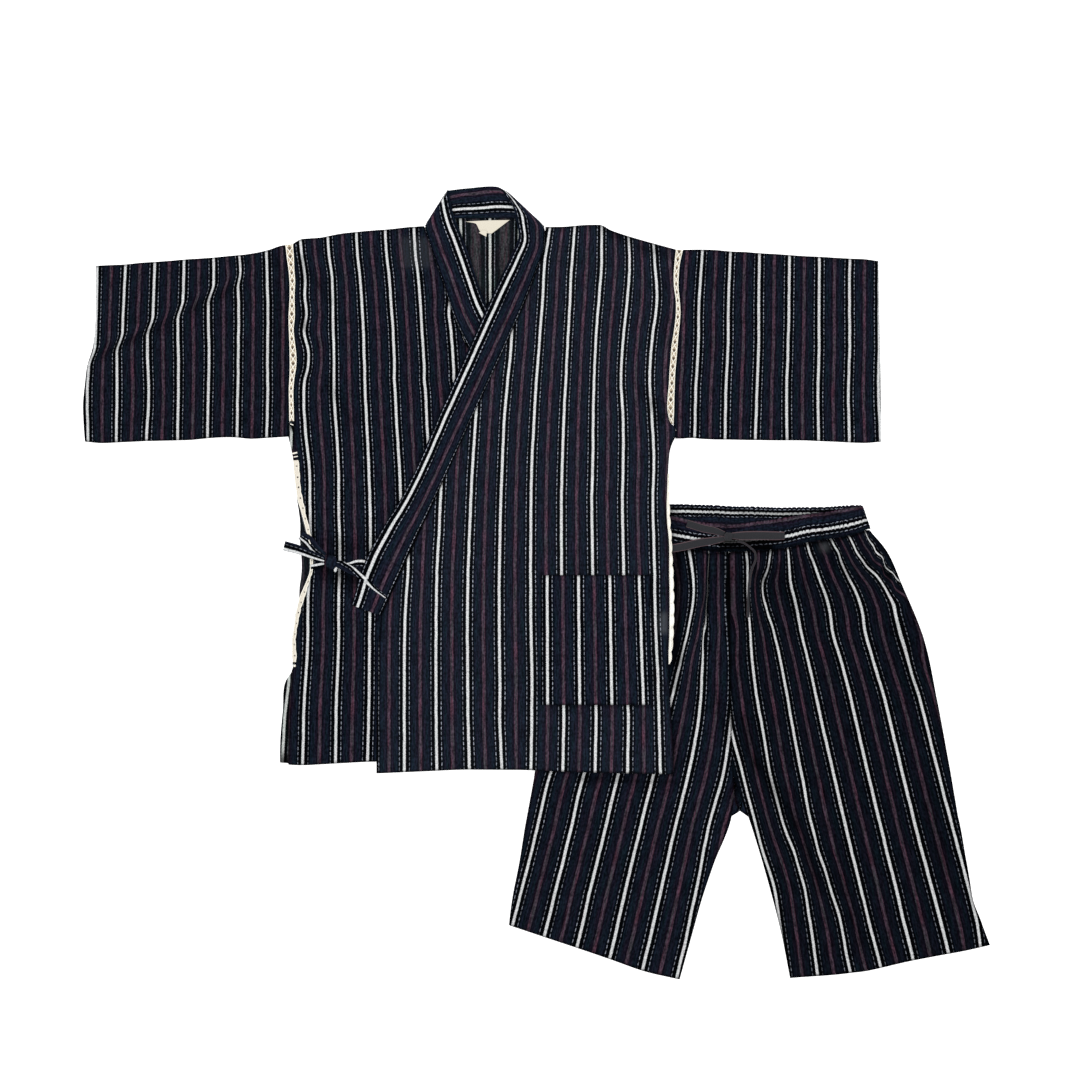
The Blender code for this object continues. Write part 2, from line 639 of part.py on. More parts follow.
def flat_outline(name, outline, bottom, finish):
    """A flat piece with a straight-sided outline."""
    curve = bpy.data.curves.new(name, "CURVE")
    curve.dimensions = "2D"
    curve.fill_mode = "BOTH"
    curve.extrude = TAPE / 2
    line = curve.splines.new("POLY")
    line.points.add(len(outline) - 1)
    for point, (x, y) in zip(line.points, outline):
        point.co = (x, y, 0, 1)
    line.use_cyclic_u = True
    made = add_object(name, curve, finish)
    made.location.z = bottom + TAPE / 2
    return made


def knot(name, place, size, bottom, finish):
    """A small rounded knot, a little flattened."""
    bpy.ops.mesh.primitive_uv_sphere_add(segments=12, ring_count=8, radius=0.5)
    made = bpy.context.object
    made.name = made.data.name = name
    made.scale = size
    made.location = (place[0], place[1], bottom + size[2] / 2)
    made.data.materials.append(material(name, finish))
    made.data.shade_smooth()
    for collection in list(made.users_collection):
        collection.objects.unlink(made)
    COLLECTION.objects.link(made)
    return made


# --- Shorts -----------------------------------------------------------------------------------------
def leg_gathers(points):
    """Heights of the gathers that fan out below the waistband."""
    below = np.concatenate([[0], np.cumsum(np.linalg.norm(np.diff(points, axis=0), axis=-1).mean(axis=1))])
    fade = np.clip(1 - below / LEG_GATHER_LENGTH, 0, 1)
    ridge = np.arange(points.shape[1]) % 2
    return LEG_GATHER_HEIGHT * np.outer(fade, ridge)


def make_legs():
    """The four leg panels: both backs on the surface, the fronts on them."""
    backs = (
        ("right_leg_back", RIGHT_LEG_BACK, RIGHT_LEG_HEM),
        ("left_leg_back", LEFT_LEG_BACK, LEFT_LEG_HEM),
    )
    for name, sections, hem in backs:
        points = panel(sections, LEG_CELL, last=hem)
        cloth(name, laid(name, points, (), CLOTH), CLOTH)
    under = tuple(name for name, _, _ in backs)
    fronts = (
        ("right_leg_front", RIGHT_LEG_FRONT, RIGHT_WAIST, RIGHT_LEG_HEM),
        ("left_leg_front", LEFT_LEG_FRONT, LEFT_WAIST, LEFT_LEG_HEM),
    )
    for name, sections, waist, hem in fronts:
        points = panel(sections, LEG_CELL, first=waist, last=hem, columns=2 * LEG_GATHERS)
        surface = laid(name, points, under, CLOTH, FOLDS[name], leg_gathers(points))
        cloth(name, surface, CLOTH)


def waist_layer(name, sections, over):
    """One side of the waistband, a gather to every second section."""
    ends = np.array(sections, float)
    ways = np.linspace(ends[0, 0], ends[-1, 0], 2 * WAIST_GATHERS + 1)
    rows = np.column_stack([np.interp(ways, ends[:, 0], ends[:, k]) for k in range(4)])
    shares = np.linspace(0, 1, WAIST_ROWS + 1)
    points = rows[:, None, :2] + shares[None, :, None] * (rows[:, None, 2:] - rows[:, None, :2])
    ridge = GATHER_HEIGHT * (np.arange(len(rows)) % 2)[:, None] * np.ones(WAIST_ROWS + 1)
    return laid(name, points, over, CLOTH, extra=ridge)


def make_waistband():
    """The elastic waistband, one loop pressed flat, and gathered all along."""
    back = waist_layer("waist_back", WAIST_BACK, ())
    front = waist_layer("waist_front", WAIST_FRONT, ("waist_back", "right_leg_back", "left_leg_back"))
    back[..., 2] += CLOTH / 2 + SLOPE_ALLOWANCE
    front[..., 2] += CLOTH / 2 + SLOPE_ALLOWANCE
    ends = []
    for end, outward in ((-1, 1), (0, -1)):
        middle = (front[end] + back[end]) / 2
        middle[:, 0] += outward * (front[end][:, 2] - back[end][:, 2]) / 2
        ends.append(middle)
    ring = np.concatenate([back, [ends[0]], front[::-1], [ends[1]]])
    cloth("waistband", ring, CLOTH, closed=True, side=0.0)


def folded_tape(name, route, over, step=STRIP_STEP):
    """A tape that goes out along its route and comes back on top of itself."""
    points = strip(route, step)
    lower = laid(name, points, over, TAPE)
    upper = lower + (0, 0, TAPE + SEAM_GAP)
    GROUND.add(name, upper + (0, 0, TAPE + SLOPE_ALLOWANCE))
    half = (0, 0, TAPE / 2)
    return turned(lower + half, upper + half)


def make_drawstring():
    """The drawstring's bow: two loops, two tails and the knot that holds them."""
    shorts = ("waist_back", "waist_front", "right_leg_front", "left_leg_front")
    tail = laid("drawstring_left_tail", strip(DRAWSTRING_LEFT_TAIL, STRIP_STEP), shorts, TAPE)
    cloth("drawstring_left_tail", tail, TAPE, GREY_TAPE)
    loops = (
        ("drawstring_left_loop", DRAWSTRING_LEFT_LOOP),
        ("drawstring_right_loop", DRAWSTRING_RIGHT_LOOP),
    )
    for name, route in loops:
        cloth(name, folded_tape(name, route, shorts), TAPE, GREY_TAPE, side=0.0)
    tail = laid("drawstring_tail", strip(DRAWSTRING_TAIL, 0.008), shorts, TAPE)
    cloth("drawstring_tail", tail, TAPE, GREY_TAPE)
    place = np.array([[DRAWSTRING_KNOT]])
    bottom = float(GROUND.under(shorts, place, 0.010)[0, 0])
    knot("drawstring_knot", DRAWSTRING_KNOT, DRAWSTRING_KNOT_SIZE, bottom, GREY_TAPE)


# --- Jacket -----------------------------------------------------------------------------------------
SHORTS = (
    "waist_back", "waist_front", "right_leg_back", "left_leg_back", "right_leg_front", "left_leg_front",
    "drawstring_left_loop",
)


def make_sleeve(name, sections, first, last):
    """A sleeve, one tube pressed flat: a fold along its top, a seam along its bottom."""
    points = panel(sections, CELL, first, last, SLEEVE_COLUMNS, along=0, rows_step=0.032)
    inner = CLOTH + SEAM_GAP
    front = np.dstack([points, inner + relief(points, FOLDS[name])])
    back = np.dstack([points, np.full(points.shape[:2], CLOTH)])
    nose = np.zeros(front[:, :1].shape)
    nose[..., 1] = SEAM_GAP
    top = (front[:, :1] + back[:, :1]) / 2 + nose
    bottom = (front[:, -1:] + back[:, -1:]) / 2 - nose
    ring = np.concatenate([top, front, bottom, back[:, ::-1]], axis=1)
    cloth(name, np.swapaxes(ring, 0, 1), CLOTH, closed=True)


def make_collar_neck():
    """The stretch of the collar behind the neck, flat on the surface, its inner side up."""
    return laid("collar_neck", panel(NECK_COLLAR, CELL, columns=COLLAR_COLUMNS), (), COLLAR_CLOTH)


def collar_branch(name, sections, over):
    """One front branch of the collar, laid over what it crosses."""
    return laid(name, panel(sections, CELL, columns=COLLAR_COLUMNS), over, COLLAR_CLOTH)


def make_collar(left, neck, right):
    """The whole collar strip, with its two folds at the shoulders."""
    half = (0, 0, COLLAR_CLOTH / 2 + SLOPE_ALLOWANCE)
    left, neck, right = left + half, neck + half, right + half
    folds = []
    for upper, lower, outward in ((left[-1], neck[0], (0.7, 0.7, 0)), (right[0], neck[-1], (-0.8, 0.55, 0))):
        radius = (upper[:, 2] - lower[:, 2])[:, None] / 2
        folds.append((upper + lower) / 2 + radius * np.array(outward))
    strip_line = np.concatenate([left, [folds[0]], neck, [folds[1]], right])
    cloth("collar", strip_line, COLLAR_CLOTH, side=0.0)


def make_body():
    """Back, fronts and collar, in the order in which they lie on each other."""
    back = laid("back_body", panel(BACK_BODY, CELL, last=BACK_SHOULDERS), SHORTS, CLOTH)
    cloth("back_body", back, CLOTH)
    neck = make_collar_neck()
    points = panel(RIGHT_FRONT, CELL, first=RIGHT_HEM, last=RIGHT_SHOULDER)
    cloth("right_front", laid("right_front", points, ("back_body",), CLOTH, FOLDS["right_front"]), CLOTH)
    right = collar_branch("collar_right", RIGHT_COLLAR, ("back_body", "collar_neck"))
    points = panel(LEFT_FRONT, CELL, first=LEFT_HEM, last=LEFT_SHOULDER)
    under = ("back_body", "right_front", "collar_right")
    front = laid("left_front", points, under, CLOTH, FOLDS["left_front"])
    cloth("left_front", front, CLOTH)
    left = collar_branch("collar_left", LEFT_COLLAR, under + ("collar_neck",))
    make_collar(left, neck, right)
    return back, front


def make_armhole_lace(name, route):
    """Lace tape between sleeve and body: up the front, over the shoulder and down the back."""
    points = strip(route, 0.028)
    back = np.dstack([points, np.full(points.shape[:2], TAPE / 2)])
    front = back + (0, 0, TAPE + SEAM_GAP)
    cloth(name, turned(back, front), TAPE, CREAM_LACE, side=0.0)


def make_side_laces(back, front):
    """Lace at the side seams: turned to the front on the right, folded round the edge on the left.

    The left one follows the side edges of the back and of the front.
    """
    surface = laid("right_side_lace", strip(RIGHT_SIDE_LACE, 0.02), ("back_body",), TAPE)
    cloth("right_side_lace", surface, TAPE, CREAM_LACE)
    open_x, fold_x = LEFT_SIDE_LACE_X
    ys = np.linspace(*LEFT_SIDE_LACE_Y, LEFT_SIDE_LACE_SECTIONS)
    layers = []
    for edge in (back[:, -1], front[:, -1]):
        height = np.interp(ys, edge[:, 1], edge[:, 2]) + TAPE / 2
        layers.append([np.column_stack([np.full(len(ys), x), ys, height]) for x in (open_x, fold_x)])
    surface = np.swapaxes(turned(*np.array(layers)), 0, 1)
    cloth("left_side_lace", surface, TAPE, CREAM_LACE, side=0.0)


def make_trims():
    """The pocket on the left front, and the label with its size tab inside the neck."""
    points = panel(POCKET, POCKET_CELL)
    cloth("pocket", laid("pocket", points, ("left_front",), CLOTH), CLOTH)
    bottom = CLOTH + SEAM_GAP
    flat_outline("neck_label", LABEL_OUTLINE, bottom, LABEL_SATIN)
    flat_outline("size_tab", TAB_OUTLINE, bottom + TAPE + LABEL_LIFT, LABEL_SATIN)


def make_ties():
    """The knotted ties at the wearer's right side."""
    under = ("back_body", "right_front", "right_side_lace")
    for name, route in (("tie_lead", TIE_LEAD), ("tie_loop", TIE_LOOP), ("tie_strap", TIE_STRAP)):
        cloth(name, laid(name, strip(route, STRIP_STEP), under, TAPE), TAPE)
    lead = under + ("tie_lead", "tie_loop")
    cloth("tie_right_tail", folded_tape("tie_right_tail", TIE_RIGHT_TAIL, lead), TAPE, side=0.0)
    over = under + ("collar_left", "left_front", "tie_strap")
    surface = laid("tie_left_tail", strip(TIE_LEFT_TAIL, STRIP_STEP), over, TAPE)
    cloth("tie_left_tail", surface, TAPE)
    place = np.array([[TIE_KNOT]])
    bottom = float(GROUND.under(under, place, 0.010)[0, 0])
    knot("tie_knot", TIE_KNOT, TIE_KNOT_SIZE, bottom, STRIPED_COTTON)


for old in list(bpy.data.objects):
    bpy.data.objects.remove(old, do_unlink=True)
COLLECTION = bpy.data.collections.new("jinbei_set")
bpy.context.scene.collection.children.link(COLLECTION)

make_legs()
make_waistband()
make_drawstring()
make_sleeve("right_sleeve", RIGHT_SLEEVE, RIGHT_CUFF, RIGHT_ARMHOLE)
make_sleeve("left_sleeve", LEFT_SLEEVE, LEFT_ARMHOLE, LEFT_CUFF)
body_back, body_front = make_body()
make_armhole_lace("right_armhole_lace", RIGHT_ARMHOLE_LACE)
make_armhole_lace("left_armhole_lace", LEFT_ARMHOLE_LACE)
make_side_laces(body_back, body_front)
make_trims()
make_ties()
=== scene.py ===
"""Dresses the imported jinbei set: striped cotton, ladder lace, ties and drawstring.

The set lies flat, front side up, and the camera looks straight down at it. Tables of places are in
millimetres in the frame's axes: x towards the wearer's left, y towards the collar.
"""
import logging
import math
from dataclasses import dataclass
from enum import Enum
from typing import NamedTuple

import bpy
import numpy as np
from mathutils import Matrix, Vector
from mathutils.bvhtree import BVHTree


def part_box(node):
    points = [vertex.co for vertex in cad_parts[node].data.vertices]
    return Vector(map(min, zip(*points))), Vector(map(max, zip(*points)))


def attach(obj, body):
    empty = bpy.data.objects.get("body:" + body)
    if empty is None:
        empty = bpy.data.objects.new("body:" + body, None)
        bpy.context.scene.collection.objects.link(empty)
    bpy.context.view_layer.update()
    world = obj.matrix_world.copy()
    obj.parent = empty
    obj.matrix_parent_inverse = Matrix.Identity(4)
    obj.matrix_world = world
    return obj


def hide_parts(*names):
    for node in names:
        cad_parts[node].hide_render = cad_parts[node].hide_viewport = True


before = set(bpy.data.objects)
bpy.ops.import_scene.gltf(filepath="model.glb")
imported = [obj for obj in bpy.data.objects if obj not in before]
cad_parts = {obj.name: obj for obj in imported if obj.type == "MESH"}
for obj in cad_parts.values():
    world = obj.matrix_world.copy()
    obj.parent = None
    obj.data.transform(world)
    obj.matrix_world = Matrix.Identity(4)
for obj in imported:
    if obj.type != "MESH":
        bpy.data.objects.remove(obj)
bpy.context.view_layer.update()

LOG = logging.getLogger("jinbei")
Array, Material, Object, Socket = np.ndarray, bpy.types.Material, bpy.types.Object, bpy.types.NodeSocket
MM = 0.001

# --- Cloth ---
PITCH = 0.044  # one repeat of the stripes, from one white stripe to the next
SHELL = 0.0005  # wall of the dressed cloth
COLLAR_SHELL = 0.0016
CELL = 0.0040  # grid cell of cloth that shows
HEM = 0.022  # depth of the turned hems
OVER_ALL = 0.05  # higher than anything in the set
SPOT_SOFT = 0.006  # half of the way over which a pale patch fades
EDGE_TURN = (0.56, 0.0, 0.0040)  # share of light lost at a turned edge, and from where to where it dies out
EDGE_SEAM = (0.62, 0.0006, 0.0019)
DASH = 0.00685  # one stitch of the dashed stripe and the gap after it
STRETCH = 0.0024  # how much that period shrinks for each length that a place lies further up


class Finish(Enum):
    """The record's material slots."""

    COTTON = "striped_cotton"
    LACE = "cream_lace"
    LABEL = "label_satin"
    TAPE = "grey_tape"


class Side(Enum):
    """The sides of a panel, in the order in which its outline is cut."""

    LOWER = 0
    RIGHT = 1
    UPPER = 2
    LEFT = 3


class StripeRow(NamedTuple):
    """Where the white stripes cross one level of a panel, in mm; halves are plum stripes."""

    y: float
    stripes: tuple


def level(y: float, first: int, *places: float) -> StripeRow:
    """A row whose white stripes are numbered one by one from the first."""
    return StripeRow(y, tuple(enumerate(places, first)))


class Jog(NamedTuple):
    """A fold across the stripes, which puts them aside on its upper side, in mm."""

    x0: float
    y0: float
    x1: float
    y1: float
    shift: float
    soft: float


class Crease(NamedTuple):
    """A soft ridge, or a trough if its height is negative, in mm."""

    x0: float
    y0: float
    x1: float
    y1: float
    half_width: float
    height: float


class Spot(NamedTuple):
    """A faint pale patch in the cloth, in mm."""

    x0: float
    y0: float
    x1: float
    y1: float
    strength: float


class Gloom(NamedTuple):
    """A soft darker streak, where the cloth dips or lies in a fold's shade, in mm."""

    x0: float
    y0: float
    x1: float
    y1: float
    half_width: float
    strength: float


class Stop(NamedTuple):
    """A colour at one place of a ramp; red, green and blue as a screen shows them, 0 to 255."""

    place: float
    red: float
    green: float
    blue: float


def rows_of(kind: type, *rows: tuple) -> tuple:
    """A table whose rows are all of one kind."""
    return tuple(kind(*row) for row in rows)


# --- Stripes ---
RIGHT_SLEEVE_STRIPES = rows_of(level,
    (215, 0, -650, -609, -565, -520, -477, -434, -391), (273, 0, -651, -608, -562, -519, -475.5, -433, -389.5),
    (331, 0, -648, -608, -563.5, -519, -474.5, -432, -390), (389, 0, -645.5, -607, -563.5, -520, -475.5, -431.5, -389),
    (447, 0, -644.5, -604, -561.5, -519, -475.5, -433, -390.5),
)
RIGHT_SLEEVE_JOGS = (Jog(-668, 316, -395, 461, 7.8, 22),)
RIGHT_FRONT_STRIPES = rows_of(level,
    (-241, 0, -338.5, -291, -244.5), (-169, 0, -336.5, -290, -242.5), (-96, 0, -332, -287, -242),
    (-24, 0, -331, -286.5, -241), (49, 0, -327.5, -285, -240.5), (107, 0, -328, -286.5, -241, -196.5),
    (165, 0, -329, -287, -243, -198.5), (223, 0, -335, -290, -245.5, -202, -158.5),
    (281, 0, -336.8, -293.5, -248.5, -205, -161), (297, 0, -335.4, -293.5, -249, -206, -162.5, -120),
    (311, 0, -331.6, -293.5, -249, -206, -162.5, -120), (336, 0, -330.3, -293.5, -250, -206.5, -164, -121.5),
    (365, 0, -336.8, -294.5, -250.7, -207.7, -165.7, -123.8), (390, 0, -333.2, -295, -252.2, -209.6, -167.2, -127),
    (418, 0, -335.7, -295.4, -253.9, -211.4, -169.2), (440, 0, -335.2, -296, -255.5, -213, -171),
    (484, 0, -341, -301.5, -260, -218, -176), (510, 0, -343, -302.5, -261, -219, -177.5),
)
LEFT_FRONT_STRIPES = rows_of(StripeRow,
    (-256, ((0, -191.5), (2, -97.5), (3, -50.5), (4, -8), (6, 85), (8, 179))),
    (-198, ((0, -191.5), (2, -99), (4, -7), (5, 39.5), (7, 133), (8, 177.5))),
    (-140, ((0, -191.5), (2, -99.5), (4, -6.5), (8, 176))), (-53, ((0, -190.5), (2, -100), (4, -8), (8, 172))),
    (34, ((0, -185.5), (1, -143.5), (2, -98.5), (4, -8.5), (6, 81), (8, 170.5))),
    (75, ((1, -141), (2, -96.8), (4, -8.3), (6, 80.5), (8, 169.3), (8.5, 191.4))),
    (121, ((1, -139), (2, -95), (4, -8), (6, 80), (8, 168.5), (8.5, 188))),
    (179, ((2, -92), (4, -6.5), (7, 125.5), (8, 170), (8.5, 190))),
) + rows_of(level,
    (237, 2, -88, -46.5, -3.5, 39.5, 82, 125.5, 167.5), (295, 3, -41.5, 0, 42.5, 83.5, 122.5, 164),
    (353, 3, -36, 4.5, 45.5, 86, 125.5, 167.5), (411, 4, 9, 48.5, 90.5, 131.5, 174.5),
    (469, 4, 12.5, 51.5, 94.5, 135, 171), (498, 4, 17, 54, 94.5, 133.5, 169),
)
POCKET_STRIPES = rows_of(level,
    (-169, 0, 16, 62.5, 109, 154.5), (-24, 0, 15.5, 61, 106.5, 149.5),
)
LEFT_SLEEVE_STRIPES = rows_of(level,
    (223, 0, 229.5, 273.5, 317.5, 363, 408.5, 453, 498), (283, 0, 231, 274.5, 319.5, 362.5, 408, 452, 495.5),
    (344, 0, 234.5, 277.5, 322, 364.5, 409.5, 454, 496.5), (405, 0, 235.5, 278, 322, 366, 409.5, 453.5, 496.5),
    (466, 0, 239.5, 280.5, 323, 366.5, 410, 454, 496.5),
)
LEFT_LEG_STRIPES = rows_of(level,
    (-555, 1, 405.5, 453, 498.5, 548, 602), (-485, 1, 395.5, 439.5, 480, 531, 584.5, 637.5),
    (-439, 1, 388, 425, 469, 520.5, 572, 626), (-392, 0, 329, 374.5, 409.5, 457.5, 508.5, 559.5, 613.5),
    (-346, 0, 317, 357, 397.5, 446.5, 497.5, 547.5, 601.5), (-276, 0, 299, 338.5, 384, 430.5, 480.5, 530.5, 583),
    (-207, 0, 281, 327, 371, 414.5, 464.5, 514, 566), (-160, 1, 318.5, 363, 404, 454, 502.5, 553.5),
    (-114, 1, 313, 354, 394, 442, 488.5, 539),
) + rows_of(StripeRow,
    (-67, ((0.5, 291), (1, 309.5), (2, 343), (3, 382.5), (4, 428.5), (5, 475.5), (6, 525), (6.5, 556))),
    (-45, ((0.44, 282), (0.5, 288), (1, 308.3), (2, 335.3), (3, 378.5), (4, 426), (5, 473), (6, 520), (6.5, 548))),
    (-21, ((0.42, 279), (0.5, 286.5), (1, 306.5), (2, 328.5), (3, 373.5), (4, 420.3), (5, 466), (6, 513),
        (6.5, 538))),
    (2, ((0.42, 278), (0.5, 285.5), (1, 306), (2, 327.5), (3, 368), (4, 411.5), (5, 455.5), (6, 500), (6.5, 516),
        (6.84, 521))),
    (25, ((0.42, 278), (0.5, 285.5), (1, 306), (2, 336), (3, 366), (4, 403.5), (5, 444.5), (6, 478), (6.5, 501),
        (7, 504), (7.2, 511))),
    (46, ((0.42, 278), (0.5, 285), (1, 304.2), (2, 339), (3, 364.5), (4, 395), (5, 437), (6, 463.2), (6.5, 482),
        (7, 491.3), (7.16, 498))),
    (60, ((0.42, 278), (0.5, 285), (1, 304), (2, 340), (3, 362.5), (4, 391.5), (5, 429), (6, 457), (6.5, 473),
        (7, 483.6), (7.16, 489))),
)
RIGHT_LEG_STRIPES = rows_of(StripeRow,
    (-566, ((1, -54.5), (3, 48), (5, 152), (6, 204.5))), (-523, ((1, -43), (3, 59.5), (5, 162.5), (6, 215))),
    (-441, ((1, -21), (3, 78.5), (5, 181), (6, 232.5))), (-360, ((1, -0.5), (3, 98.5), (5, 199.5), (6, 248))),
) + rows_of(level,
    (-279, 1, 19, 68, 118, 169, 219.5, 270), (-207, 3, 135.5, 185.5, 233.5, 281), (-160, 3, 150, 198, 238.5, 285),
) + rows_of(StripeRow,
    (-114, ((3, 164.5), (4, 209), (5, 240.5), (5.5, 262.5), (5.84, 278))),
    (-69, ((3, 180.5), (4, 219.5), (4.5, 235), (5, 242), (5.5, 265), (5.84, 274), (5.89, 281))),
    (-24, ((4, 227.5), (4.5, 243), (4.72, 246.5), (5.2, 247.4), (5.5, 264.5), (5.84, 272), (5.89, 281))),
    (4, ((4, 227.5), (4.5, 244.5), (4.72, 248), (5.2, 248.9), (5.5, 264.5), (5.84, 272), (5.89, 281))),
    (46, ((4, 221.5), (4.5, 244.5), (4.72, 249), (5.2, 249.9), (5.5, 264.5), (5.84, 272.5), (5.89, 281))),
)
BACK_STRIPES = (  # its wrong side shows in the neck, and a turned edge at the wearer's right slit
    *(StripeRow(y, ((0, first), (8, last))) for y, first, last in (
        (-260, -368.5, -18), (-190, -364.5, -14), (-143, -359, -5), (-125, -357, -5), (-110, -345, -5),
        (-60, -350, -5), (-40, -340, -5), (-14, -327, -5), (28, -322, -5), (60, -324, -5), (84, -330, -5),
        (110, -336, -5), (180, -355, -18), (217, -355.5, -18), (224, -355.5, -18), (231, -362.5, -18),
        (238, -362.5, -18),
    )),
    StripeRow(380, ((0, -364), (6, -106), (7, -66.5), (8, -26.5))),
    StripeRow(520, ((0, -368), (6, -110), (7, -67.5), (8, -25))),
)

# --- Edges: sides drawn anew, each from below or from the left ---
BACK_EDGES = (
    (Side.LOWER, (
        (-371.9, -259.6), (-356, -260.6), (-342, -260.2), (-300, -257.5), (-240, -253), (-100, -256), (60, -262),
        (190.7, -270))),
    (Side.UPPER, (
        (-351.2, 491.5), (-255, 503), (-160, 517), (-130, 529), (-85, 533), (-35, 532), (11, 512), (105, 499),
        (201.8, 484.3))),
    (Side.LEFT, (
        (-371.9, -259.6), (-371.6, -229.8), (-367.9, -185.5), (-362.1, -138.2), (-354.8, -127.6), (-354.5, -105.1),
        (-354.5, -81.9), (-351.6, -60.2), (-349.7, -44.2), (-344.4, -23.9), (-343.7, -6.5), (-340.8, 15.2),
        (-340.8, 39.9), (-342.9, 63.1), (-342.6, 86.3), (-344.8, 106), (-347, 120), (-349, 138.5), (-350.6, 161.7),
        (-353.4, 183), (-354.4, 188.5), (-355.6, 192.9), (-357, 199), (-358.4, 206.6), (-359.7, 212.4), (-358.6, 224),
        (-357.8, 237), (-352, 262), (-352, 320), (-352, 380), (-352, 440), (-351.2, 491.5))),
)
RIGHT_FRONT_EDGES = (
    (Side.LOWER, (
        (-359.7, -263.2), (-342.2, -263.4), (-313.2, -262.1), (-284.2, -260.5), (-255.2, -258.9), (-225, -258),
        (-160, -259), (-100, -260.5), (-40, -262), (20, -263.5), (81.9, -264.6))),
    (Side.UPPER, (
        (-352.5, 492.7), (-342.2, 498.6), (-327.7, 500.3), (-313.2, 501.4), (-298.7, 504.2), (-284.2, 507),
        (-269.7, 508.7), (-240.7, 511.5), (-211.7, 513.7), (-182.7, 516.8), (-163, 518))),
    (Side.LEFT, (
        (-359.7, -262.5), (-359.7, -215), (-358.3, -176.6), (-354.5, -130.8), (-348.7, -105.1), (-349.6, -87.7),
        (-346, -52.9), (-342.3, -35.5), (-336.8, -18.1), (-329.4, 6.5), (-324.8, 22.5), (-324.8, 45.7),
        (-326.3, 63.1), (-331.5, 86.3), (-336.5, 103.7), (-341, 121.1), (-344, 138.5), (-345.3, 164.6), (-350, 176),
        (-353.2, 183), (-354.2, 188.5), (-354.7, 192.9), (-353.2, 200.8), (-351.3, 212.4), (-351, 222.6),
        (-351.2, 233), (-351.3, 245.8), (-352.1, 271.9), (-350.6, 298), (-347.7, 324.1), (-350, 350.2),
        (-351.6, 367.6), (-349.9, 389.3), (-350.3, 414), (-349.5, 437.2), (-350.9, 457.5), (-351.3, 472),
        (-352.5, 492.7))),
)
LEFT_FRONT_EDGES = (
    (Side.RIGHT, (
        (198, -276.2), (198.5, -245), (197.5, -220), (195, -190), (193, -160), (191.5, -130), (190.7, -105.1),
        (191.4, -79), (192.3, -35.5), (191.8, -0.7), (191.1, 41.3), (190.5, 68.9), (188.4, 89.2), (187.9, 106.6),
        (189, 129.8), (190.4, 158.8), (191.4, 176.2), (192.9, 190.7), (196.5, 203), (200.8, 212), (200.6, 226),
        (193.5, 233.5), (191.2, 241), (189.4, 254.5), (190.2, 271.9), (191.7, 289.3), (192.7, 306.7), (194, 324.1),
        (195.3, 341.5), (197.9, 358.9), (200.4, 376.3), (202, 393.7), (201.8, 411.1), (199.2, 428.5), (198.1, 445.9),
        (198.9, 463.3), (201.3, 484.3))),
)
RIGHT_SLEEVE_EDGES = (
    (Side.RIGHT, (
        (-358.4, 212.1), (-358.3, 245.8), (-358.9, 271.9), (-357.6, 315.4), (-358.3, 350.2), (-359.3, 385),
        (-357.9, 419.8), (-358.3, 440.1), (-359.6, 454.6), (-361.9, 472), (-364.2, 491.9))),
    (Side.LEFT, (
        (-654.5, 205.6), (-656.4, 232), (-657.2, 260.3), (-654.4, 290), (-651.2, 315), (-643, 342), (-639.4, 380),
        (-639, 411), (-638.7, 460.7))),
    (Side.LOWER, (
        (-654.5, 205.6), (-643.8, 204.5), (-632.2, 203.5), (-610.4, 204.3), (-588.7, 205.3), (-566.9, 206.3),
        (-545.2, 206.8), (-523.4, 207.3), (-501.7, 208), (-479.9, 210.1), (-458.2, 211.7), (-436.4, 211.7),
        (-414.7, 209.7), (-392.9, 210.8), (-378.4, 211.7), (-358.4, 213))),
    (Side.UPPER, (
        (-638.7, 460.7), (-617.7, 461.7), (-595.9, 462.7), (-574.2, 465), (-552.4, 466.4), (-530.7, 468),
        (-508.9, 469.9), (-487.2, 471.3), (-465.4, 472.9), (-443.7, 475.1), (-421.9, 477.1), (-400.2, 480.8),
        (-385.7, 484.5), (-371.2, 489.6), (-364.2, 490.8))),
)
LEFT_SLEEVE_EDGES = (
    (Side.LEFT, (
        (201.3, 210.1), (199.1, 222.6), (198.8, 237.1), (199.8, 254.5), (200.2, 277.7), (201.1, 300.9),
        (202.9, 324.1), (204.5, 341.5), (205.9, 358.9), (207.8, 376.3), (208.7, 393.7), (207.5, 411.1),
        (205.9, 428.5), (206.3, 445.9), (207.8, 463.3), (212.7, 483.9))),
    (Side.LOWER, (
        (201.3, 210.1), (211.7, 210.1), (223.3, 210.9), (237.8, 209.7), (259.6, 208.7), (281.3, 208.5), (303.1, 208),
        (324.8, 207.7), (346.6, 207.4), (368.3, 207.4), (390.1, 207.2), (411.8, 206.2), (433.6, 205.4),
        (455.3, 204.2), (477.1, 203.7), (499.5, 205.5))),
    (Side.UPPER, (
        (212.7, 483.9), (223.3, 484), (237.8, 484.2), (259.6, 483.5), (281.3, 481.5), (303.1, 480.6), (324.8, 478.9),
        (346.6, 477.7), (368.3, 476.1), (390.1, 474.6), (411.8, 473.7), (433.6, 472.3), (455.3, 471.1),
        (477.1, 470.1), (495.6, 467.4))),
)
LABEL_EDGES = (
    (Side.LOWER, ((-81.1, 509.4), (-73, 508), (-65, 507.2))),
    (Side.UPPER, ((-103.5, 524.5), (-72, 526.2), (-39, 526.8))),
    (Side.LEFT, ((-81.1, 509.4), (-84, 514.5), (-87.7, 521.3), (-95, 523.3), (-103.5, 524.5))),
    (Side.RIGHT, ((-65, 507.2), (-52, 517), (-39, 526.8))),
)
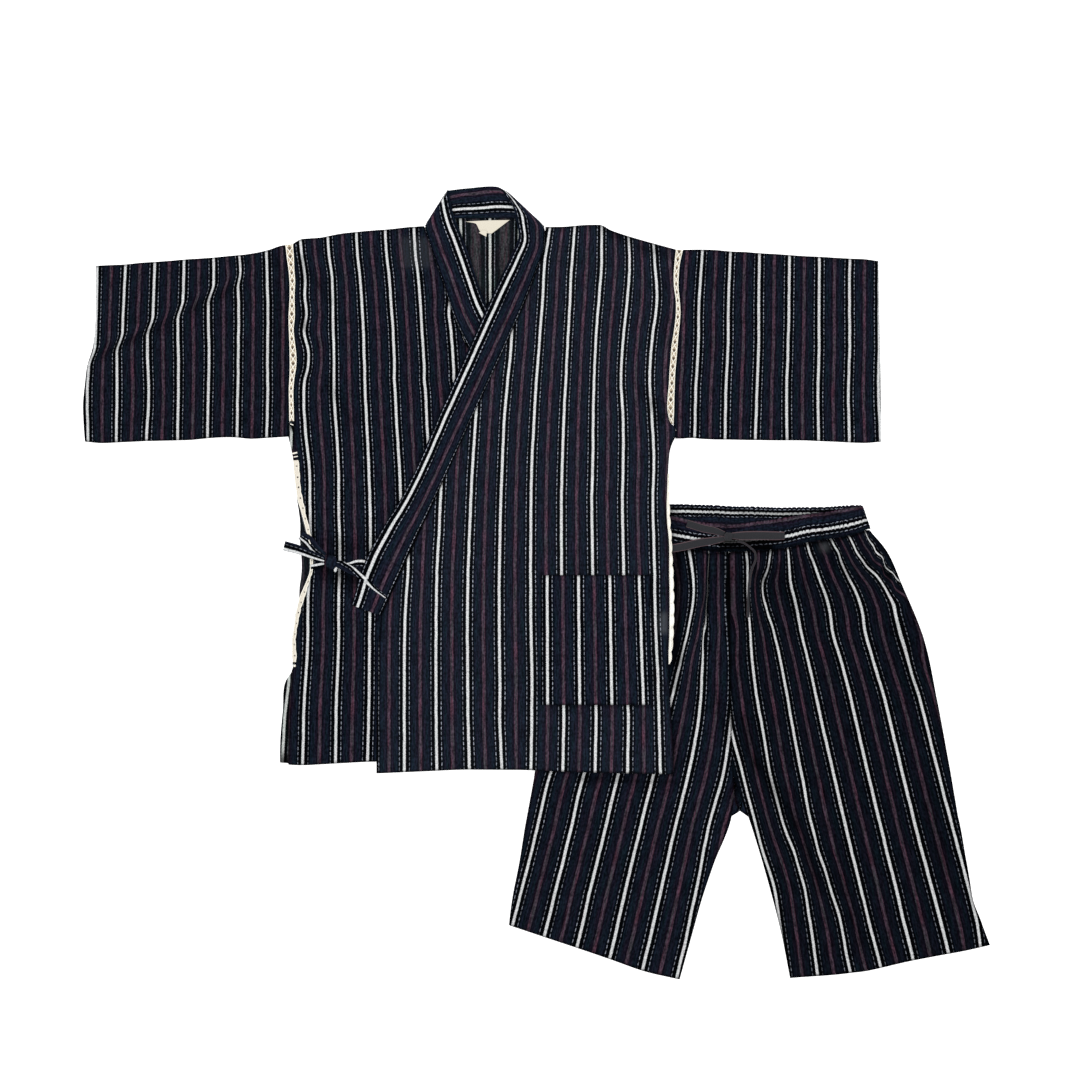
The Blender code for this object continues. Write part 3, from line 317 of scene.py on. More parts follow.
TAB_EDGES = (
    (Side.LOWER, ((-83.4, 508.2), (-78, 505.3), (-72.6, 502.4))),
    (Side.UPPER, ((-78.4, 512), (-75.1, 511.6), (-71.8, 511.1))),
    (Side.LEFT, ((-83.4, 508.2), (-80.9, 510.1), (-78.4, 512))),
    (Side.RIGHT, ((-72.6, 502.4), (-72.2, 506.7), (-71.8, 511.1))),
)

# --- Routes of narrow pieces: x, y and width ---
DRAWSTRING_TAIL_ROUTE = (
    (291, 61, 2.6), (296, 60, 2.3), (304, 56.5, 2.3), (311, 51, 2.4), (315.5, 47, 2.5), (317.2, 42, 2.6),
    (317.2, 34, 2.7), (314, 26, 2.9), (311, 18, 3.2), (308.5, 2, 3.6), (307.4, -15, 3.8), (306.8, -32, 4),
    (306.6, -49, 4),
)
DRAWSTRING_LEFT_TAIL_ROUTE = ((272, 71.5, 7.5), (258, 76.5, 10), (245, 79, 10.5), (218, 87, 10.5))
DRAWSTRING_LEFT_LOOP_ROUTE = ((272, 65, 6.5), (254, 61.5, 10), (237, 59, 11), (210, 53, 11), (170, 47, 10.5))
DRAWSTRING_RIGHT_LOOP_ROUTE = ((283, 69, 8), (296, 69, 11), (322, 69.5, 11.5), (344, 69, 11.5), (358, 69, 10.5))
RIGHT_ARMHOLE_LACE_ROUTE = (
    (-354.8, 235.6, 7), (-355.4, 263.2, 6.5), (-355.7, 280.6, 6.8), (-354.4, 298, 7.5), (-352.8, 315.4, 10),
    (-352.9, 332.8, 10.3), (-354.2, 350.2, 8.3), (-355.4, 367.6, 7.3), (-354.8, 385, 9.7), (-354.4, 402.4, 8.4),
    (-354.2, 419.8, 7.4), (-353.8, 437.2, 8.7), (-355.1, 454.6, 8.7), (-356.7, 472, 10.9), (-358.4, 491.5, 11.6),
)
LEFT_ARMHOLE_LACE_ROUTE = (
    (195.8, 231.3, 6.5), (195.3, 240, 8), (194.3, 254.5, 11), (195, 271.9, 10.2), (196.2, 289.3, 9),
    (196.9, 306.7, 9), (198.5, 324.1, 9.1), (199.8, 341.5, 9.3), (201.8, 358.9, 8), (204, 376.3, 7.4),
    (205.3, 393.7, 6.8), (204.7, 411.1, 5.7), (202.7, 428.5, 6.4), (202.6, 445.9, 7.4), (204, 463.3, 7.8),
    (207.2, 483.6, 10.4),
)
RIGHT_SIDE_LACE_ROUTE = (
    (-348.4, 178.6, 8.6), (-348, 170.4, 8.6), (-346.9, 157.3, 8.6), (-346.2, 147.2, 7.8), (-344.7, 135.6, 7.4),
    (-342.1, 121.1, 7.6), (-340.2, 113.8, 7), (-338.2, 106.6, 6.2), (-334.9, 92.1, 4.8), (-332.8, 86.3, 6),
    (-331.2, 77.6, 5.2), (-328.4, 68, 4.6), (-326.4, 48.6, 4.2), (-325.8, 31.2, 3.6), (-326.6, 16.7, 3.4),
    (-330.2, 5.1, 3.8), (-334.5, -6.5, 5.2), (-338.7, -18.1, 7), (-343, -32, 6.4), (-344.9, -39.9, 6),
    (-348, -57.3, 5), (-350.6, -76, 4.4), (-351.4, -90, 5.2), (-350.6, -105.1, 6), (-350.7, -113.8, 5.6),
)
LEFT_SIDE_LACE_ROUTE = (
    (192.9, -116.5, 1.6), (193.6, -110, 3.4), (193.9, -100, 4.2), (194.9, -87.7, 5.2), (195.7, -70.3, 5.8),
    (196.1, -52.9, 6.2), (196.3, -35.5, 6), (196.3, -18.1, 6), (195.8, -0.7, 5.6), (195.3, 16.7, 5.6),
    (194.9, 34.1, 4.4), (194.4, 51.5, 3.4), (193.5, 68.9, 3.6), (191.9, 86.3, 4.2), (190.8, 109.5, 4),
    (190.9, 135.6, 3), (191.4, 158.8, 2.4),
)
TIE_LEAD_ROUTE = ((-341.5, 70.2, 12), (-330, 62, 15), (-320, 50, 14), (-307, 40.3, 9))
TIE_LOOP_ROUTE = ((-307.5, 27.5, 6), (-317, 25.5, 7), (-327, 24, 6))
TIE_STRAP_ROUTE = (
    (-243.6, 25.6, 12), (-252.6, 28.8, 12), (-261.7, 28.4, 11), (-270.4, 25.9, 9), (-280.6, 25.6, 8),
    (-290.7, 28.3, 8),
)
TIE_RIGHT_TAIL_ROUTE = ((-306.8, 34.9, 7), (-322, 40.3, 10.4), (-343.9, 48.9, 12.6), (-364.3, 54.4, 13.6))
TIE_LEFT_TAIL_ROUTE = (
    (-291.4, 28.8, 6), (-287.8, 28.6, 9.5), (-277.2, 24, 11.5), (-266.1, 18.1, 11), (-258.6, 13.5, 8),
    (-253.6, 10.2, 6.4), (-242.9, 1.2, 6.6), (-231.5, -8.5, 6), (-217.8, -19.8, 3.6),
)
TIE_STRAP_STRIPES = ((-0.05, 0.25), (-0.05, 0.24), (-0.04, 0.24), (0.035, 0.26), (0.06, 0.26))
TIE_LEFT_TAIL_STRIPES = (
    (0.36, 0.1), (0.36, 0.035), (0.34, 0.01), (0.24, -0.05), (0.1, -0.05), (-0.04, 0.1), (-0.03, 0.21),
    (-0.03, 0.21), (-0.03, 0.16),
)
RIGHT_SIDE_TACKS = (
    (-353.6, 188.6, -346.7, 190.2, 0), (-353.6, 187.8, -346.7, 189.4, 0), (-352.2, 183.2, -345.8, 184.4, 0.5),
    (-329.9, 63.4, -327.3, 57.3, -2.6), (-352, -120.2, -348.9, -119.8, 0), (-352, -118.6, -348.9, -118.2, 0),
)


# --- Shapes ---
def metres(rows: tuple) -> Array:
    """A table's rows in millimetres, as an array in metres."""
    return np.array(rows, float) * MM


def between_knots(t: Array, span: Array, low: tuple, high: tuple) -> Array:
    """A cubic curve's values between two of its knots.

    Args:
        t: share of the way from the lower knot to the higher one.
        span: distance between the knots.
        low: value and slope at the lower knot.
        high: value and slope at the higher one.

    Returns:
        The values.
    """
    return (
        (2 * t ** 3 - 3 * t ** 2 + 1) * low[0] + (t ** 3 - 2 * t ** 2 + t) * low[1] * span
        + (3 * t ** 2 - 2 * t ** 3) * high[0] + (t ** 3 - t ** 2) * high[1] * span
    )


def smooth_line(points: Array, count: int) -> Array:
    """A smooth curve through a row of points.

    Args:
        points: the points that it passes, one a row.
        count: how many steps it gets, evenly spaced.

    Returns:
        The curve's points, count + 1 rows.
    """
    ways = np.concatenate([[0], np.cumsum(np.hypot(*np.diff(points[:, :2], axis=0).T))])
    slopes = np.gradient(points, ways, axis=0)
    places = np.linspace(0, ways[-1], count + 1)
    k = np.clip(np.searchsorted(ways, places, side="right") - 1, 0, len(points) - 2)
    span = (ways[k + 1] - ways[k])[:, None]
    t = (places - ways[k])[:, None] / span
    return between_knots(t, span, (points[k], slopes[k]), (points[k + 1], slopes[k + 1]))


def ways_of(points: Array) -> Array:
    """The length of a line up to each of its points."""
    return np.concatenate([[0], np.cumsum(np.linalg.norm(np.diff(points, axis=0), axis=1))])


def length_of(points: Array) -> float:
    """The length of a line through these points."""
    return float(np.linalg.norm(np.diff(points, axis=0), axis=1).sum())


def softened(heights: Array, times: int) -> Array:
    """A grid of heights, each averaged with its neighbours that many times over."""
    for _ in range(times):
        wide = np.pad(heights, 1, mode="edge")
        heights = (wide[:-2, 1:-1] + wide[2:, 1:-1] + wide[1:-1, :-2] + wide[1:-1, 2:] + 2 * heights) / 6
    return heights


def step(values: Array, start: float, end: float) -> Array:
    """0 up to start, 1 from end on, and a soft rise between them."""
    share = np.clip((values - start) / (end - start), 0, 1)
    return share * share * (3 - 2 * share)


def along_line(x: Array, y: Array, x0: float, y0: float, x1: float, y1: float) -> tuple:
    """For each place, its share of the way along a line and how far it lies to the line's left."""
    length = math.hypot(x1 - x0, y1 - y0)
    way = ((x - x0) * (x1 - x0) + (y - y0) * (y1 - y0)) / length ** 2
    return way, ((y - y0) * (x1 - x0) - (x - x0) * (y1 - y0)) / length


def gloomed(places: Array, glooms: tuple) -> Array:
    """How dark soft streaks make each place.

    Args:
        places: places seen from above.
        glooms: the streaks.

    Returns:
        The shares of light lost.
    """
    light = np.ones(places.shape[:-1])
    for gloom in glooms:
        x0, y0, x1, y1, half_width = (value * MM for value in gloom[:5])
        run = np.array([x1 - x0, y1 - y0])
        start = places - np.array([x0, y0])
        way = np.clip((start @ run) / (run @ run), 0, 1)
        far = np.linalg.norm(start - way[..., None] * run, axis=-1)
        light = light * (1 - gloom.strength * np.exp(-(far / half_width) ** 2))
    return 1 - light


class Solid:
    """A node of the frame, read as the form that its dressed piece lies on."""

    def __init__(self, name: str):
        """Reads the node's mesh.

        Args:
            name: the node's name.
        """
        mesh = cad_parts[name].data
        mesh.calc_loop_triangles()
        spots = np.empty(3 * len(mesh.vertices))
        mesh.vertices.foreach_get("co", spots)
        triangles = np.empty(3 * len(mesh.loop_triangles), int)
        mesh.loop_triangles.foreach_get("vertices", triangles)
        spots, welded = np.unique(spots.reshape(-1, 3).round(6), axis=0, return_inverse=True)
        self.name = name
        self.spots = spots
        self.triangles = welded.reshape(-1)[triangles.reshape(-1, 3)]
        self.tree = BVHTree.FromPolygons(spots.tolist(), self.triangles.tolist())

    def outline(self, above: float = 0.0) -> Array:
        """The outline of the node's upper side, as one loop of points seen from above.

        Args:
            above: faces lower than this are left out, as the inside of a sleeve is.

        Returns:
            The loop's points, x and y, in the order in which they follow each other.
        """
        corners = self.spots[self.triangles]
        normals = np.cross(corners[:, 1] - corners[:, 0], corners[:, 2] - corners[:, 0])
        upward = normals[:, 2] > 0.3 * np.linalg.norm(normals, axis=1)
        upward &= corners[..., 2].mean(axis=1) > above
        after = {}
        for a, b, c in self.triangles[upward]:
            for edge in ((a, b), (b, c), (c, a)):
                after[edge] = True
        border = {a: b for a, b in after if (b, a) not in after}
        loops = []
        while border:
            start, here = border.popitem()
            loop = [start]
            while here != start:
                loop.append(here)
                here = border.pop(here)
            loops.append(self.spots[loop])
        highest = max(loops, key=lambda loop: (round(length_of(loop[:, :2]), 1), loop[:, 2].mean()))
        return highest[:, :2]

    def top(self, x: Array, y: Array, below: bool = False) -> Array:
        """Heights of the node's upper side.

        Args:
            x: places across, in any shape.
            y: places along, in the same shape.
            below: whether to look through the node's upper layer, where it has two, at its lower one.

        Returns:
            The heights, with those beside the node taken from its nearest point.
        """
        heights = np.empty(x.size)
        down = Vector((0, 0, -1))
        for k, (px, py) in enumerate(zip(x.flat, y.flat)):
            hit = self.tree.ray_cast(Vector((px, py, OVER_ALL)), down)[0]
            if hit is None:
                near = self.tree.find_nearest(Vector((px, py, 0.02)))[0]
                inside = near + (near - Vector((px, py, near.z))).normalized() * 0.0005
                hit = self.tree.ray_cast(Vector((inside.x, inside.y, OVER_ALL)), down)[0] or near
            if below:
                underside = self.tree.ray_cast(hit + down * 0.0001, down)[0]
                lower = self.tree.ray_cast(underside + down * 0.0001, down)[0] if underside else None
                hit = lower or hit
            heights[k] = hit.z
        return heights.reshape(x.shape)


class StripeMap:
    """The stripes of one piece: which stripe lies at a place."""

    def __init__(self, rows: tuple, jogs: tuple = ()):
        """Keeps the table.

        Args:
            rows: where the white stripes cross the piece, from its lowest row to its highest.
            jogs: folds that put the stripes aside.
        """
        self.rows = rows
        self.jogs = jogs
        self.levels = np.array([row.y for row in rows]) * MM

    def along(self, row: StripeRow, x: Array) -> Array:
        """Stripe numbers along one row, carried on at the usual pitch past its ends."""
        numbers, places = np.array(row.stripes, float).T
        places = places * MM
        inside = np.interp(x, places, numbers)
        return inside + (np.minimum(x - places[0], 0) + np.maximum(x - places[-1], 0)) / PITCH

    def put_aside(self, x: Array, y: Array) -> Array:
        """How far the jogs move the stripes to the right of their rows."""
        total = np.zeros(x.shape)
        for jog in self.jogs:
            *line, shift, soft = (value * MM for value in jog)
            way, over = along_line(x, y, *line)
            total += shift * step(over, -soft / 2, soft / 2) * step(way, -0.12, 0.06) * (1 - step(way, 0.80, 1.0))
        return total

    def number(self, x: Array, y: Array) -> Array:
        """Stripe numbers at these places.

        Args:
            x: places across.
            y: places along.

        Returns:
            The numbers, whole on a white stripe and half way between on a plum one.
        """
        x = x - self.put_aside(x, y)
        known = np.array([self.along(row, x) for row in self.rows])
        levels = self.levels
        slopes = np.gradient(known, levels, axis=0) if len(levels) > 1 else np.zeros(known.shape)
        inside = np.clip(y, levels[0], levels[-1])
        k = np.clip(np.searchsorted(levels, inside, side="right") - 1, 0, len(levels) - 2)
        span = levels[k + 1] - levels[k]
        t = (inside - levels[k]) / span
        low, high, low_slope, high_slope = (
            np.take_along_axis(table, row[None], axis=0)[0]
            for table, row in ((known, k), (known, k + 1), (slopes, k), (slopes, k + 1))
        )
        value = between_knots(t, span, (low, low_slope), (high, high_slope))
        return value + slopes[0] * np.minimum(y - levels[0], 0) + slopes[-1] * np.maximum(y - levels[-1], 0)


class Relief:
    """The creases of one garment, the same for all its layers, so that none cuts another."""

    def __init__(self, creases: tuple, swell: float):
        """Keeps the creases.

        Args:
            creases: the listed ridges and troughs.
            swell: height of the slow unevenness between them.
        """
        self.creases = creases
        self.swell = swell

    def height(self, x: Array, y: Array) -> Array:
        """Heights of the creases.

        Args:
            x: places across.
            y: places along.

        Returns:
            The height of the cloth above its flat form.
        """
        swell = (
            np.sin(61 * x + 23 * y + 0.7) + np.sin(37 * y - 45 * x + 2.1) + np.sin(88 * y + 31 * x)
            + 0.6 * np.sin(170 * x - 95 * y + 1.2) + 0.6 * np.sin(190 * y + 140 * x + 0.4)
        )
        total = self.swell * (1 + swell / 4.2)
        for crease in self.creases:
            *line, half_width, height = (value * MM for value in crease)
            way, side = along_line(x, y, *line)
            taper = np.cos(np.clip(np.abs(2 * way - 1) / 1.15, 0, 1) * math.pi / 2)
            width = half_width * (0.45 + 0.55 * taper)
            total = total + height * taper * np.cos(np.clip(side / width, -1, 1) * math.pi / 2) ** 2
        return total


# --- Making meshes ---
def pick_only(made: Object) -> None:
    """Selects one object alone and makes it active."""
    bpy.ops.object.select_all(action="DESELECT")
    made.select_set(True)
    bpy.context.view_layer.objects.active = made


def write_weave(mesh: bpy.types.Mesh, weave: Array) -> None:
    """Writes each point's stripe number and its way along the stripe as the mesh's UV map."""
    corner_of = np.empty(len(mesh.loops), int)
    mesh.loops.foreach_get("vertex_index", corner_of)
    mesh.uv_layers[0].name = "weave"
    mesh.uv_layers[0].data.foreach_set("uv", weave.reshape(-1, 2)[corner_of].ravel())


def cloth_sheet(
    name: str, points: Array, weave: Array, wall: float, closed: bool = False,
    middle: bool = False, shades: dict | None = None,
) -> Object:
    """A thin wall of cloth shaped from a grid.

    Args:
        name: the piece's name.
        points: rows and columns of places of its upper side.
        weave: for each place, its stripe number and how far along the stripe it is.
        wall: thickness, kept below or inside the places.
        closed: whether the last row joins the first, as on a sleeve.
        middle: whether the places are the wall's middle and not its upper side.
        shades: for each place, how pale it is drawn for its pale patches and painted light ("patch_and_light"), how
        much painted shade darkens its dyed bands ("dim") and how deep it lies in a fold's painted shade ("shadow").

    Returns:
        The piece, at the origin and unturned.
    """
    if closed:
        points, weave = (np.concatenate([grid, grid[:1]]) for grid in (points, weave))
        shades = {kind: np.concatenate([grid, grid[:1]]) for kind, grid in (shades or {}).items()}
    rows, columns = points.shape[:2]
    bpy.ops.mesh.primitive_grid_add(x_subdivisions=columns - 1, y_subdivisions=rows - 1, size=1)
    made = bpy.context.object
    made.name = made.data.name = name
    mesh = made.data
    mesh.vertices.foreach_set("co", points.ravel())
    write_weave(mesh, weave)
    for kind, values in (shades or {}).items():
        attribute = mesh.attributes.new(kind, "FLOAT", "POINT")
        attribute.data.foreach_set("value", np.ascontiguousarray(values).ravel())
    corners = points.reshape(-1, 3)
    across, down = points[:-1, 1:] - points[1:, :-1], points[1:, 1:] - points[:-1, :-1]
    facing = np.cross(across, down)[..., 2]
    above = points[:-1, :-1, 2] - corners[:, 2].mean() if closed else 1.0
    if (facing * above).sum() < 0:
        mesh.flip_normals()
    pick_only(made)
    if closed:
        bpy.ops.object.mode_set(mode="EDIT")
        bpy.ops.mesh.select_all(action="SELECT")
        bpy.ops.mesh.remove_doubles(threshold=0.000001)
        bpy.ops.object.mode_set(mode="OBJECT")
    solidify = made.modifiers.new("wall", "SOLIDIFY")
    solidify.thickness = wall
    solidify.offset = 0 if middle else -1
    bpy.ops.object.modifier_apply(modifier=solidify.name)
    bpy.ops.object.shade_smooth_by_angle(angle=math.radians(55))
    return made


def thread_mesh(name: str, routes: list, radius: float) -> Object:
    """Threads of one thickness, joined as one mesh.

    Args:
        name: the piece's name.
        routes: for each thread, the points that it follows.
        radius: half of a thread's thickness.

    Returns:
        The piece, at the origin and unturned.
    """
    curve = bpy.data.curves.new(name, "CURVE")
    curve.dimensions = "3D"
    curve.bevel_depth = radius
    curve.bevel_resolution = 1
    curve.use_fill_caps = True
    for route in routes:
        line = curve.splines.new("POLY")
        line.points.add(len(route) - 1)
        line.points.foreach_set("co", np.column_stack([route, np.ones(len(route))]).ravel())
    made = bpy.data.objects.new(name, curve)
    bpy.context.scene.collection.objects.link(made)
    pick_only(made)
    bpy.ops.object.convert(target="MESH")
    made = bpy.context.object
    made.data.name = name
    bpy.ops.object.shade_smooth_by_angle(angle=math.radians(80))
    return made


@dataclass
class Panel:
    """A panel of cloth, spread between the four sides of its solid's outline.

    Attributes:
        name: the piece's name.
        node: the solid that it stands for.
        corners: the outline's corners in mm: lower left, lower right, upper right, upper left.
        stripes: where the stripes run.
        relief: the garment's creases.
        cell: side of a grid cell.
        hem: depth of the turned hem at the lower side.
        wall: thickness of the cloth.
        spots: faint pale patches.
        above: lowest height of the solid's upper side.
        haze: painted light: how much paler the whole panel is drawn, its dark bands lifted as by brighter light.
        dim: painted shade: how much darker its dyed bands are drawn than the usual, as by dimmer light.
        lines: sides drawn anew in the place of the outline's, each a Side and its points in mm.
        dusk: painted shade: how much darker the whole panel is drawn, its white stripes too.
        hollows: painted shade: how much darker it is drawn in its troughs, for each millimetre of their depth.
        glooms: soft darker streaks of painted shade.
        turned: the sides along which the cloth turns down, painted darker there with shade.
        reach: how far its right side laps over the outline.
    """

    name: str
    node: str
    corners: tuple
    stripes: StripeMap
    relief: Relief
    cell: float = CELL
    hem: float = 0.0
    wall: float = SHELL
    spots: tuple = ()
    above: float = 0.0
    haze: float = 0.0
    dim: float = 0.0
    lines: tuple = ()
    dusk: float = 0.0
    hollows: float = 0.30
    glooms: tuple = ()
    turned: tuple = (Side.LOWER, Side.RIGHT, Side.UPPER, Side.LEFT)
    reach: float = 0.0

    def sides(self) -> list:
        """The outline's four sides: lower, right, upper and left, each from left or from below."""
        loop = self.solid.outline(self.above)
        starts = [int(np.argmin(np.hypot(*(loop - corner).T))) for corner in metres(self.corners)]
        runs = []
        for start, end in zip(starts, starts[1:] + starts[:1]):
            stretch = np.arange(start, end + 1 if end >= start else end + 1 + len(loop)) % len(loop)
            runs.append(loop[stretch])
        sides = [runs[0], runs[1] + (self.reach, 0), runs[2][::-1], runs[3][::-1]]
        for side, points in self.lines:
            sides[side.value] = metres(points)
            end = -1 if side in (Side.RIGHT, Side.UPPER) else 0
            neighbours = (Side.LOWER, Side.UPPER) if side in (Side.RIGHT, Side.LEFT) else (Side.LEFT, Side.RIGHT)
            for neighbour, point in zip(neighbours, (0, -1)):
                sides[neighbour.value][end] = sides[side.value][point]
        return sides

    def grid(self) -> Array:
        """The panel's places seen from above, rows from the lower side up."""
        lower, right, upper, left = self.sides()
        columns = max(2, round(max(length_of(lower), length_of(upper)) / self.cell))
        rows = max(2, round(max(length_of(left), length_of(right)) / self.cell))
        lower, upper = (smooth_line(side, columns)[None] for side in (lower, upper))
        left, right = (smooth_line(side, rows)[:, None] for side in (left, right))
        across = np.linspace(0, 1, columns + 1)[None, :, None]
        up = np.linspace(0, 1, rows + 1)[:, None, None]
        corners = (
            (1 - across) * (1 - up) * lower[:, :1] + across * (1 - up) * lower[:, -1:]
            + (1 - across) * up * upper[:, :1] + across * up * upper[:, -1:]
        )
        return (1 - up) * lower + up * upper + (1 - across) * left + across * right - corners

    def heights(self, places: Array) -> Array:
        """Heights of the panel's upper side."""
        x, y = places[..., 0], places[..., 1]
        heights = softened(self.solid.top(x, y), 3) - 0.0001 + self.relief.height(x, y)
        if self.hem:
            depth = np.concatenate([np.zeros((1, x.shape[1])), np.cumsum(
                np.linalg.norm(np.diff(places, axis=0), axis=-1), axis=0)])
            heights += 0.0004 * (1 - step(depth, self.hem - 0.002, self.hem + 0.002))
        return heights

    def weave(self, places: Array) -> Array:
        """For each place, its stripe number and how far along the stripe it is."""
        x, y = places[..., 0], places[..., 1]
        return np.dstack([self.stripes.number(x, y), -DASH / STRETCH * np.log(1 - STRETCH * y / DASH)])

    def patch_and_light(self, places: Array) -> Array:
        """How pale the cloth is drawn at each place: its faint pale patches, and the painted light of the panel's haze.
        """
        x, y = places[..., 0], places[..., 1]
        pale = np.full(x.shape, self.haze)
        for spot in self.spots:
            x0, y0, x1, y1 = (value * MM for value in spot[:4])
            inside = step(x, x0 - SPOT_SOFT, x0 + SPOT_SOFT) * (1 - step(x, x1 - SPOT_SOFT, x1 + SPOT_SOFT))
            inside = inside * step(y, y0 - SPOT_SOFT, y0 + SPOT_SOFT) * (1 - step(y, y1 - SPOT_SOFT, y1 + SPOT_SOFT))
            pale = np.maximum(pale, spot.strength * inside)
        return pale

    def edge_shade(self, places: Array) -> Array:
        """How dark the panel is along its edges, where the cloth turns down."""
        edges = {
            Side.LOWER: places[:1], Side.RIGHT: places[:, -1:], Side.UPPER: places[-1:], Side.LEFT: places[:, :1],
        }
        nearest = np.min([np.linalg.norm(places - edges[side], axis=-1) for side in self.turned], axis=0)
        turn, seam = (lost * (1 - step(nearest, start, end)) for lost, start, end in (EDGE_TURN, EDGE_SEAM))
        return 1 - (1 - turn) * (1 - seam)

    def shade(self, places: Array) -> Array:
        """How deep each place lies in the shade of an edge or a fold.

        Args:
            places: the panel's places seen from above.

        Returns:
            The shares of light lost.
        """
        heights = self.relief.height(places[..., 0], places[..., 1])
        depth = (softened(heights, 24) - heights) / MM
        light = (1 - self.edge_shade(places)) * (1 - self.dusk) * (1 - np.clip(self.hollows * depth, -0.1, 0.7))
        return 1 - light * (1 - gloomed(places, self.glooms))

    def cloth(self, places: Array) -> tuple:
        """The points, weave and shades of the panel, and whether it is a tube."""
        shades = {
            "patch_and_light": self.patch_and_light(places), "dim": np.full(places.shape[:2], self.dim), "shadow": self.shade(places),
        }
        return np.dstack([places, self.heights(places)]), self.weave(places), shades, False

    def build(self) -> Object:
        """Builds the panel and hides the solid that it stands for."""
        self.solid = Solid(self.node)
        self.points, weave, shades, tube = self.cloth(self.grid())
        made = cloth_sheet(self.name, self.points, weave, self.wall, closed=tube, shades=shades)
        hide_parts(self.node)
        return made


@dataclass
class Sleeve(Panel):
    """A sleeve pressed flat: a fold along its top and a seam along its bottom.

    Attributes:
        middle: height of its fold and its seam.
        under: height of its back layer.
    """

    middle: float = 0.0012
    under: float = 0.0005

    def cloth(self, places: Array) -> tuple:
        """The points, weave and shades of both layers, and that they are a tube."""
        heights = self.heights(places)
        weave = self.weave(places)
        from_edge = np.minimum(
            np.linalg.norm(places - places[:1], axis=-1), np.linalg.norm(places - places[-1:], axis=-1)
        )
        rounding = np.sqrt(1 - (1 - np.clip(from_edge / 0.005, 0, 1)) ** 2)
        front = np.dstack([places, self.middle + (heights - self.middle) * rounding])
        back = np.dstack([places, self.middle + (self.under - self.middle) * rounding])
        ring = np.concatenate([front, back[-2:0:-1]])
        shadow = self.shade(places)
        shades = {"dim": np.full(ring.shape[:2], self.dim), "shadow": np.concatenate([shadow, shadow[-2:0:-1]])}
        return ring, np.concatenate([weave, weave[-2:0:-1]]), shades, True


def declare(
    made: Object,
) -> None:
    """Puts a sheet of cloth on the set's one body.

    Args:
        made: the piece.
    """
    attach(made, "root")


# --- Narrow pieces ---
def strip_grid(route: tuple, cell: float, columns: int) -> Array:
    """A narrow strip's places seen from above, rows along it and columns from its right to its left.

    Args:
        route: x, y and width at places along the strip, in mm, in the order in which it runs.
        cell: distance between the rows.
        columns: how many cells lie across.

    Returns:
        The places, rows, columns and x, y.
    """
    line = metres(route)
    fine = smooth_line(line, max(6, round(length_of(line[:, :2]) / cell)))
    heading = np.gradient(fine[:, :2], axis=0)
    heading /= np.linalg.norm(heading, axis=1)[:, None]
    side = np.column_stack([-heading[:, 1], heading[:, 0]])
    across = np.linspace(-0.5, 0.5, columns + 1)
    return fine[:, None, :2] + (side * fine[:, 2:])[:, None] * across[None, :, None]


@dataclass
class Ribbon:
    """A narrow strip of cloth or tape.

    Attributes:
        name: the piece's name and its solid's.
        route: x, y and width at places along its middle line, in mm.
        stripes: stripe numbers at its right and left side, as one pair or as one for each stretch.
        relief: the garment's creases.
        wall: thickness.
        crown: how far its middle stands above its sides.
        doubled: how far its second layer lies beside the first, if it turns back on itself.
    """

    name: str
    route: tuple
    stripes: tuple
    relief: Relief
    wall: float = 0.0008
    crown: float = 0.0004
    doubled: float | None = None

    def build(self) -> Object:
        """Builds the ribbon and hides the solid that it stands for."""
        solid = Solid(self.name)
        places = strip_grid(self.route, 0.0016, 6)
        x, y = places[..., 0], places[..., 1]
        across = np.linspace(-1, 1, places.shape[1])
        heights = softened(solid.top(x, y), 2) - 0.0001 - self.wall / 2 + self.relief.height(x, y)
        heights = heights + self.crown * (1 - across ** 2)
        points = np.dstack([places, heights])
        ways = ways_of(points[:, 3])
        pairs = np.atleast_2d(np.array(self.stripes, float))
        if len(pairs) == 1:
            pairs = np.repeat(pairs, 2, axis=0)
        along = np.linspace(0, 1, len(pairs))
        right, left = (np.interp(ways / ways[-1], along, pairs[:, side])[:, None] for side in (0, 1))
        numbers = right + (left - right) * (across[None, :] + 1) / 2
        weave = np.dstack(np.broadcast_arrays(numbers, ways[:, None]))
        if self.doubled is not None:
            side = places[:, -1:] - places[:, :1]
            side = side / np.linalg.norm(side, axis=-1)[..., None]
            lower = points - np.dstack([side * self.doubled, np.full(side.shape[:2], self.wall + 0.0004)])
            nose = (points[-1:] + lower[-1:]) / 2
            nose[..., :2] += (places[-1:] - places[-3:-2]) * 0.3
            points = np.concatenate([lower, nose, points[::-1]])
            weave = np.concatenate([weave, weave[-1:], weave[::-1]])
        made = cloth_sheet(self.name + "_cloth", points, weave, self.wall, middle=True)
        self.points = points
        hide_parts(self.name)
        return made


